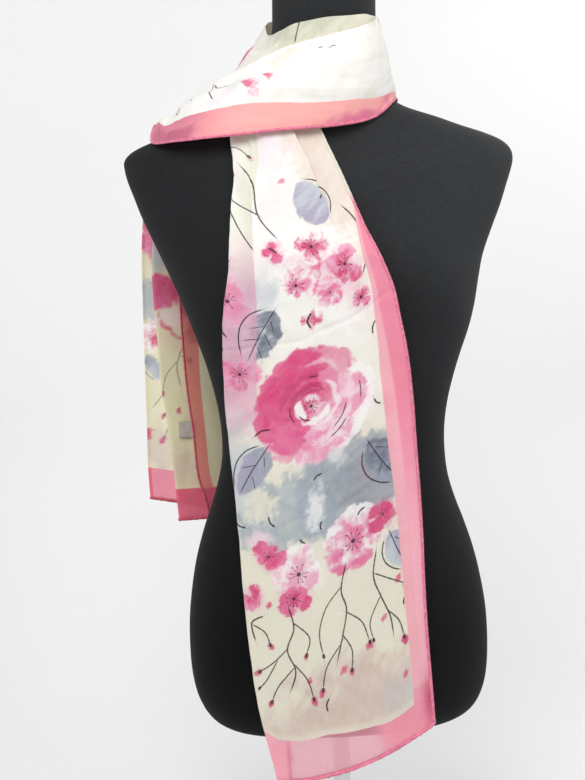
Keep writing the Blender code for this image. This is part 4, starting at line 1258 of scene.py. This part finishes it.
def doubleWrap(outer, normal):  # folds the cloth over at its upper edge and down behind itself
    gap = neckWrap["foldGap"]
    upTop = outer[:, -1] - outer[:, -2]
    upTop /= np.linalg.norm(upTop, axis=1, keepdims=True)
    turns = []
    for k in range(1, neckWrap["fold"]):
        angle = math.pi * k / neckWrap["fold"]
        inward = normal[:, -1] * gap / 2 * (1 - math.cos(angle))
        turns.append(outer[:, -1] - inward + upTop * gap / 2 * math.sin(angle))
    back = outer - normal * gap
    places = np.linspace(neckWrap["outer"] - 1, neckWrap["innerStart"], neckWrap["inner"])
    low = np.floor(places).astype(int)
    part = (places - low)[None, :, None]
    inner = back[:, low] * (1 - part) + back[:, np.minimum(low + 1, neckWrap["outer"] - 1)] * part
    return np.concatenate([outer, np.stack(turns, 1), inner], axis=1)


def buildNeckWrap():
    outer, outward, places = neckWrapPoints()
    across = lengthAlong(outer, 1)
    middle = outer[:, neckWrap["outer"] // 2]
    run = np.concatenate([[0], np.cumsum(np.linalg.norm(np.diff(middle, axis=0), axis=1))])
    run = run - np.interp(1, places, run)  # the print is placed from the solid's own start
    v = np.broadcast_to(run[:, None], across.shape)
    lift = creaseLift(across, v, wrapCreases) + 0.0005 * cloud(across, v, 0.07, 21)
    edgeFade = smooth(0.0, 0.012, across) * 0.75 + 0.25
    outer = outer + outward * (lift * edgeFade)[..., None]
    outer = keepClear(outer, formSurface, np.full(outer.shape[:2], cloth["coverGap"] + neckWrap["foldGap"]))
    normal = gridNormals(outer)
    normal *= np.sign((normal * outward).sum(axis=2, keepdims=True))
    points = doubleWrap(outer, normal)
    mesh = meshFromGrid("neck_wrap_cloth", points)
    u = lengthAlong(points, 1)
    v = np.broadcast_to(run[:, None], u.shape)
    whole = u[:, -1:]
    inset = np.minimum(u, whole - u) - np.interp(v, *neckWrap["border"])
    painting = Painting(u, v, chiffon["cream"])
    paintNeckWrap(painting)
    printCloth(mesh, painting, inset)
    wrap = addPiece("neck_wrap_cloth", mesh, chiffonCloth)
    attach(wrap, "root")
    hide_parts("neck_wrap")
    extras = addHem("neck_wrap_hem", [points[::2, 0], points[::2, -1]], [normal[::2, 0], -normal[::2, 0]],
                    pinkThreads)


def paintNeckWrap(p):  # across from the bottom hem, along from the end under the band
    # grounds; the large white wash over the band is a painted highlight where the light is strongest, and the
    # darkened shade wash is painted shade on the inner strip beside the neck
    each(p.wash, ((60, 620), (110, 240), white, 0.95, 0, 31, 0.75),
         ((60, 160), (50, 60), white, 0.7, 0, 32, 0.3),
         ((84, 70), (46, 90), shade * 0.76, 0.88, 0, 33, 0.55))
    # border, doubled in places
    p.tint(np.ones_like(p.u), neckWrap["peach"], 0.87)
    p.tint(smooth(0.600, 0.690, p.v) * 0.88, neckWrap["dusk"], 0.88)
    each(p.rimWash, ((4, 668), (15, 26), neckWrap["wedge"], 0.75, 0.25, 0.55),
         ((8, 700), (12, 18), neckWrap["wedge"], 0.55, -0.3, 0.5),
         ((2, 500), (12, 46), neckWrap["curl"], 0.75, 0.0, 0.25),
         ((12, 458), (18, 12), neckWrap["curl"], 0.5, 0.2, 0.2))
    # first stretch, round the neck's left and behind it
    each(p.petal, ((12, 194), -0.52, 58, 13, magenta, rose, 201, 0.95, 0.1),
         ((66, 212), 2.9, 24, 10, rose, blush, 202, 0.9))
    p.bud((62, 222), 0.5, 8, magenta)
    each(p.stroke, ([(44, 172), (58, 184), (70, 204)], 1.3), ([(36, 180), (52, 196), (66, 216)], 1.2),
         ([(44, 89), (54, 88), (66, 86)], 1.3))
    p.peony((46, 300), 34, 2.4, 204)
    each(p.wash, ((86, 300), (20, 46), mist, 0.8, 0, 34, 0.4),
         ((20, 346), (26, 22), grey, 0.75, 0.4, 35, 0.5))
    each(p.leaf, ((26, 262), (52, 238), 22, slate, mist, 205, 3),
         ((70, 352), (92, 326), 22, lilac, mist, 206, 2))
    each(p.blossom, ((84, 266), 15, 0.4, magenta, white, 207), ((58, 366), 19, 0.9, rose, white, 208),
         ((34, 388), 15, 0.2, magenta, blush, 209), ((76, 402), 14, 0.6, magenta, pale, 210))
    p.twig([(54, 386), (62, 402), (56, 418)], 1.5, (([(60, 396), (72, 408), (78, 422)], 7, bud),))
    # band across the front, mostly bare
    each(p.petal, ((60, 628), 4.45, 26, 12, magenta, pale, 211, 0.92),
         ((52, 612), 3.7, 19, 11, rose, white, 212, 0.9), ((64, 606), 4.3, 22, 8, magenta, white, 213, 0.9))
    each(p.wash, ((58, 636), (14, 16), mist, 0.5, 0.3, 36, 0.3),
         ((46, 646), (12, 18), pale, 0.6, 0.3, 37, 0.3),
         ((78, 590), (14, 30), peach, 0.55, 0.1, 38, 0.3))
    each(p.stroke, ([(78, 676), (66, 658), (60, 640)], 1.2), ([(80, 680), (60, 664), (46, 650)], 1.1),
         ([(80, 546), (81, 541)], 0.9), ([(78, 534), (80, 529), (79, 525)], 0.8),
         ([(46, 706), (40, 700), (38, 708), (44, 712)], 1.3), ([(58, 692), (55, 688)], 1.8))
    p.bud((92, 640), 3.4, 6, rose)
    # over the shoulder
    p.wash((60, 890), (150, 74), chiffon["reverse"], 1.0, 0, 39, 0.35)
    each(p.blossom, ((78, 800), 17, 0.3, magenta, white, 214), ((50, 826), 15, 1.0, rose, pale, 215))
    p.leaf((92, 826), (104, 792), 20, lilac, mist, 216, 2)
    p.twig([(64, 790), (56, 770), (62, 752)], 1.3, (([(58, 776), (44, 768), (38, 756)], 6, bud),))


buildNeckWrap()
print("neck wrap built")

# back tail: four sheets folded like an accordion
backTail = dict(rows=230, solidRows=25, columns=46, fold=4, edgeFold=3, edgeRadius=0.0005, endBorder=0.034,
                turnBack=0.003, hangSpan=(-0.15, -0.065), flat=(0.40, 0.36),
                sideBorder=((0.0, 0.10, 0.20, 0.30, 0.36), (0.0130, 0.0135, 0.0175, 0.019, 0.019)),
                coral=linear(250, 156, 148), endPink=linear(236, 120, 147), rose=linear(206, 96, 112),
                hemTone=linear(206, 82, 104), heavyBelow=0.404)
backCreases = (  # across from the near sheet's hem, up from the end hem
    (12, 300, 16, 20, 0.9, 7), (36, 320, 34, 60, -0.8, 8), (60, 280, 58, 10, 0.8, 9),
    (110, 330, 118, 40, 0.9, 9), (150, 300, 146, 10, -0.8, 8), (176, 330, 172, 30, 0.8, 5),
    (220, 300, 226, 30, 0.8, 9), (262, 320, 258, 20, -0.7, 9), (300, 345, 306, 40, 1.3, 9),
    (330, 340, 326, 5, -1.2, 8), (352, 330, 360, 60, 1.4, 8), (376, 345, 370, 10, -1.0, 7),
    (394, 300, 392, 20, 0.8, 5), (290, 150, 400, 142, 0.4, 3), (0, 150, 90, 146, 0.35, 3),
)


def backDepth(x, layer, outer, reach, share):
    middle, width = cloth["backBend"]
    inner = reach + cloth["restGap"]
    near = outer + (inner - outer) * stepAt(middle, width, x)
    wave = cloth["backWave"] * stepAt(0.15, 0.3, share) * np.sin(cloth["backWaveRate"] * x)
    return near + layer * cloth["backStep"] + wave


def backRows(count):
    return hangingRows(backTailRows, backTail["solidRows"], [0], backTail["hangSpan"], 3, count)


def backTailPoints():
    rows, reach, share = backRows(backTail["rows"])
    z, hemX, foldX, leftX, rightX, outer, raised = [rows[:, k:k + 1] for k in range(7)]
    turns = (hemX, rightX, foldX, rightX, leftX)

    def sheetPoint(x, layer):
        lift = raised * np.maximum(0, (rightX - x) / (rightX - leftX)) if layer == 3 else 0 * x
        return np.stack([x, backDepth(x, layer, outer, reach, share), z + lift], -1)

    parts = []
    for layer in range(4):
        start, end = turns[layer], turns[layer + 1]
        place = np.linspace(0, 1, backTail["columns"])[None, :]
        parts.append(sheetPoint(start + (end - start) * place, layer))
        if layer < 3:
            centre = (sheetPoint(end, layer) + sheetPoint(end, layer + 1)) / 2
            side = np.sign(end[0, 0] - start[0, 0])
            angle = math.pi * np.arange(1, backTail["fold"])[None, :] / backTail["fold"]
            half = cloth["backStep"] / 2
            turn = np.stack([side * half * np.sin(angle), -half * np.cos(angle), 0 * angle], -1)
            parts.append(centre + turn)
    last = parts[-1][:, -1:]
    angle = math.pi * np.arange(1, backTail["edgeFold"] + 1)[None, :] / backTail["edgeFold"]
    small = backTail["edgeRadius"]
    parts.append(last + np.stack([-small * np.sin(angle), small * (1 - np.cos(angle)), 0 * angle], -1))
    place = np.linspace(0.15, 1, 5)[None, :, None] * np.array((backTail["turnBack"], 0.0, 0.0))
    follow = sheetPoint(leftX + place[..., 0], 3)
    follow[..., 1] += 2 * small
    follow[..., 2] = last[..., 2]
    parts.append(follow)
    return np.concatenate(parts, axis=1)


def buildBackTail():
    points = backTailPoints()
    u, v = hangingPlaces(points)
    lift = creaseLift(u, v, backCreases) * smooth(0.36, 0.30, v) + 0.0003 * cloud(u, v, 0.06, 44)
    points[..., 1] += np.clip(lift, -0.0009, 0.0016)
    mesh = meshFromGrid("back_tail_cloth", points)
    end = v - backTail["endBorder"]
    side = u - np.interp(v, *backTail["sideBorder"])
    inset = np.minimum(side, end)
    painting = Painting(u, v, chiffon["reverse"])
    painting.tint(np.ones_like(u), backTail["coral"], 0.82)
    painting.tint(smooth(0.0012, -0.0012, end), backTail["endPink"], 0.84)
    paintBackTail(painting)
    printCloth(mesh, painting, inset)
    reverse = chiffonMaterial("printed_chiffon_reverse", 0.52)  # its back faces the viewer
    tail = addPiece("back_tail_cloth", mesh, reverse)
    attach(tail, "root")
    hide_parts("back_tail")
    normals = gridNormals(points)
    edges = np.concatenate([points[::3, 0], points[-1, 1:]])
    out = np.concatenate([-normals[::3, 0], -normals[-1, 1:]])
    threads = hemThreads("back_hem_roll", "back_hem_thread", backTail["hemTone"])
    extras = addHem("back_tail_hem", [edges], [out], threads, backTail["heavyBelow"])


def paintBackTail(p):  # across from the near sheet's hem, up from the end hem
    for x, y, wide, high in ((8, 236, 11, 20), (12, 206, 9, 15), (6, 176, 4, 5), (9, 270, 12, 14)):
        p.rimWash((x, y), (wide, high), backTail["rose"], 0.7, 0.0, 0.3)  # print of the layers behind
    each(p.wash, ((390, 56), (90, 30), beige, 0.7, 0, 81, 0.6),
         ((200, 60), (60, 22), beige, 0.5, 0, 82, 0.5))
    # rear sheet
    each(p.wash, ((452, 214), (44, 26), mistBlue, 0.85, 0.1, 83, 0.6, 0.2),
         ((384, 196), (56, 26), grey, 0.85, -0.2, 84, 0.6, 0.2),
         ((420, 200), (12, 20), white, 0.8, 0.2, 85, 0.3))
    each(p.leaf, ((352, 296), (330, 330), 26, slate, mist, 301, 4),
         ((358, 238), (326, 214), 26, lilac, grey, 302, 3))
    p.peony((400, 262), 46, 0.4, 303)
    each(p.blossom, ((452, 286), 24, 0.9, magenta, blush, 304), ((340, 268), 17, 0.2, rose, white, 305),
         ((330, 296), 13, 0.7, magenta, rose, 306), ((450, 178), 20, 0.5, magenta, white, 307),
         ((398, 160), 18, 1.1, rose, pale, 308), ((362, 172), 15, 0.3, magenta, rose, 309))
    p.leaf((462, 158), (448, 132), 16, grey, mist, 310, 0)
    p.twig([(402, 146), (396, 122), (404, 100), (398, 78)], 1.6, (
        ([(397, 126), (380, 108), (374, 90)], 7, bud), ([(403, 104), (420, 88), (424, 70)], 7, bud),
        ([(398, 132), (414, 122), (420, 108)], 0, bud)))
    p.twig([(446, 150), (440, 124), (448, 100)], 1.4, (([(441, 126), (430, 112), (432, 96)], 6, bud),))
    p.bud((442, 66), 1.4, 11, magenta)
    p.twig([(362, 158), (352, 136), (356, 112)], 1.5, (([(354, 140), (338, 128), (334, 112)], 8, bud),))
    # middle sheets, either side of their left fold
    p.wash((196, 292), (50, 22), mist, 0.85, 0, 86, 0.5)
    each(p.petal, ((138, 266), -0.55, 58, 42, magenta, rose, 311, 0.95, 0.3),
         ((236, 232), 2.6, 58, 40, rose, magenta, 312, 0.95, 0.3))
    p.wash((192, 222), (34, 14), pale, 0.7, 0, 87, 0.4)
    p.crescent((176, 236), 34, -0.9, 0.7, 5, magenta, 0.8, 88)
    each(p.blossom, ((230, 196), 18, 0.5, magenta, white, 313), ((124, 190), 19, 0.2, rose, white, 314))
    p.twig([(180, 196), (190, 170), (186, 146)], 1.5, (
        ([(188, 176), (202, 160), (206, 142)], 6, bud), ([(186, 182), (172, 166), (166, 148)], 7, bud)))
    p.bud((188, 118), 1.8, 6, magenta)
    p.twig([(236, 180), (242, 150), (236, 124)], 1.5, (([(240, 154), (256, 138), (260, 120)], 7, bud),))
    # nearest sheet
    p.wash((52, 190), (30, 26), grey, 0.8, 0.2, 89, 0.5, 0.2)
    p.leaf((40, 176), (62, 148), 20, slate, mist, 315, 3)
    p.petal((34, 218), 1.1, 40, 30, magenta, rose, 316, 0.9, 0.3)
    p.stroke([(34, 180), (30, 160), (33, 140), (36, 122)], 1.3)
    p.bud((38, 112), 1.2, 5, magenta)


buildBackTail()
print("back tail built")

# care label: bare woven tape sewn behind the side hem
label = dict(width=0.0190, length=0.0170, height=0.473, overlap=0.004, thick=0.0005, behind=0.0010,
             curl=0.0009, twist=0.0004, columns=26, lines=22, tone=linear(178, 170, 161), seamColumn=4,
             stitches={"Pitch": 0.0021, "Stitch length": 0.0013, "Thread radius": 0.00018})


def labelMaterial():
    look = Nodes("label_tape_woven")
    where = look.place()
    ribs = look.add("TexWave", {"Vector": where, "Scale": 330.0, "Distortion": 0.4}, bands_direction='Z')
    threads = look.add("TexWave", {"Vector": where, "Scale": 420.0, "Distortion": 0.4}, bands_direction='X')
    uneven = look.noise(where, 300.0, 3.0)
    tone = look.mix(look.ramp(uneven, 0.3, 0.7), label["tone"] * 0.85, label["tone"] * 1.12)
    tone = look.mix(look.times(ribs.outputs["Fac"], 0.35), tone, label["tone"] * 0.6)
    height = look.math('ADD', ribs.outputs["Fac"], look.times(threads.outputs["Fac"], 0.6))
    shader = look.add("BsdfPrincipled", {"Base Color": tone, "Roughness": 0.78, "Sheen Weight": 0.15,
                                         "Normal": look.bump(height, 0.00015, 0.6)})
    return look.finish(shader)


def buildLabel():
    rows, reach, share = backRows(backTail["solidRows"])
    near = int(np.argmin(np.abs(rows[:, 0] - label["height"])))
    hemX, outer = rows[near, 1], rows[near, 5]
    right = hemX + label["overlap"]
    columns, lines = label["columns"], label["lines"]
    x = np.broadcast_to(np.linspace(right, right - label["width"], columns)[None, :], (lines, columns))
    down = np.linspace(0.5, -0.5, lines)[:, None]
    z = label["height"] + label["length"] * np.broadcast_to(down, x.shape)
    free = (right - x) / label["width"]
    curl = label["curl"] * free ** 2 * np.cos(down * 2.4) - label["twist"] * np.sin(3 * free) * down
    y = backDepth(x, 0, outer, reach[near, 0], share[near, 0]) + label["behind"] + curl
    front = np.stack([x, y - label["thick"] / 2, z], -1)
    rear = np.stack([x, y + label["thick"] / 2, z], -1)
    middle = (front + rear) / 2
    shell = np.concatenate([middle[:, :1], front, middle[:, -1:], rear[:, ::-1]], axis=1)
    mesh = meshFromGrid("care_label_tape", shell, wrapRound=True)
    faces = []
    for base in (0, (lines - 1) * shell.shape[1]):  # closes the cut ends
        frontRow = [base + 1 + k for k in range(columns)]
        rearRow = [base + 1 + 2 * columns - k for k in range(columns)]
        faces += [(base, frontRow[0], rearRow[0]), (base + columns + 1, frontRow[-1], rearRow[-1])]
        faces += [(frontRow[k], frontRow[k + 1], rearRow[k + 1], rearRow[k]) for k in range(columns - 1)]
    addFaces(mesh, faces)
    tape = addPiece("care_label_tape", mesh, labelMaterial())
    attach(tape, "root")
    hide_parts("care_label")
    seam = front[1:-1, label["seamColumn"]] - np.array((0, 0.0002, 0))
    stitches = addStitches("care_label_stitches", [seam], "label_tape", labelThread, **label["stitches"])


buildLabel()
print("care label built")

# stand: enamelled base and pole
stand = dict(baseRadius=0.140, baseHeight=0.012, poleRadius=0.009, tone=linear(236, 236, 238),
             segments=96, sharp=35)


def enamelMaterial():
    look = Nodes("white_enamel_finish")
    where = look.place()
    peel = look.noise(where, 160.0, 2.0)
    dust = look.noise(where, 18.0, 4.0, 0.6)
    tone = look.mix(look.ramp(dust, 0.35, 0.75), stand["tone"], stand["tone"] * 0.93)
    shader = look.add("BsdfPrincipled", {
        "Base Color": tone, "Roughness": look.ramp(dust, 0.3, 0.8, 0.26, 0.40), "Coat Weight": 0.3,
        "Normal": look.bump(peel, 0.0002, 0.12)})
    return look.finish(shader)


def turned(name, profile, material, node):  # radius and height pairs, from the bottom middle up
    count = stand["segments"]
    angle = 2 * math.pi * np.arange(count) / count
    ring = np.stack([np.cos(angle), np.sin(angle)], 1)
    points = np.array([np.concatenate([ring * r, np.full((count, 1), z)], 1) for r, z in profile])
    mesh = meshFromGrid(name, points, wrapRound=True)
    closeRings(mesh, count)
    mesh.set_sharp_from_angle(angle=math.radians(stand["sharp"]))
    piece = addPiece(name, mesh, material)
    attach(piece, "root")
    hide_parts(node)


def buildStand():
    enamel = enamelMaterial()
    r, h, pole = stand["baseRadius"], stand["baseHeight"], stand["poleRadius"]
    rounded = [math.pi / 2 * k / 8 for k in range(9)]
    base = [(0.002, 0.0), (r - 0.006, 0.0), (r - 0.003, 0.0006)]
    base += [(r - 0.004 + 0.004 * math.cos(angle), 0.0042 + 0.0042 * math.sin(angle)) for angle in rounded]
    base += [(r * 0.80, 0.0095), (r * 0.55, 0.0107), (r * 0.30, 0.0115), (pole * 2.4, h), (pole * 1.2, h)]
    turned("stand_base_plate", base + [(0.002, h)], enamel, "stand_base")
    top = formRows[0][0] - 0.0003
    # share of the pole's radius, millimetres above the base and below the form
    collar = [(pole * wide, h + up / 1000) for wide, up in (
        (1.75, 0.3), (1.85, 1.0), (1.85, 7.0), (1.65, 9.0), (1.08, 10.0), (1.0, 11.0))]
    steps = [(pole, h + 0.011 + (top - h - 0.023) * k / 6) for k in range(1, 6)]
    upper = [(pole * wide, top - down / 1000) for wide, down in (
        (1.0, 12.0), (1.5, 11.0), (1.6, 9.5), (1.6, 1.0), (1.5, 0.0))]
    pipe = [(0.001, h + 0.0003), *collar, *steps, *upper, (0.001, top)]
    turned("stand_pole_tube", pipe, enamel, "stand_pole")


buildStand()
print("stand built")
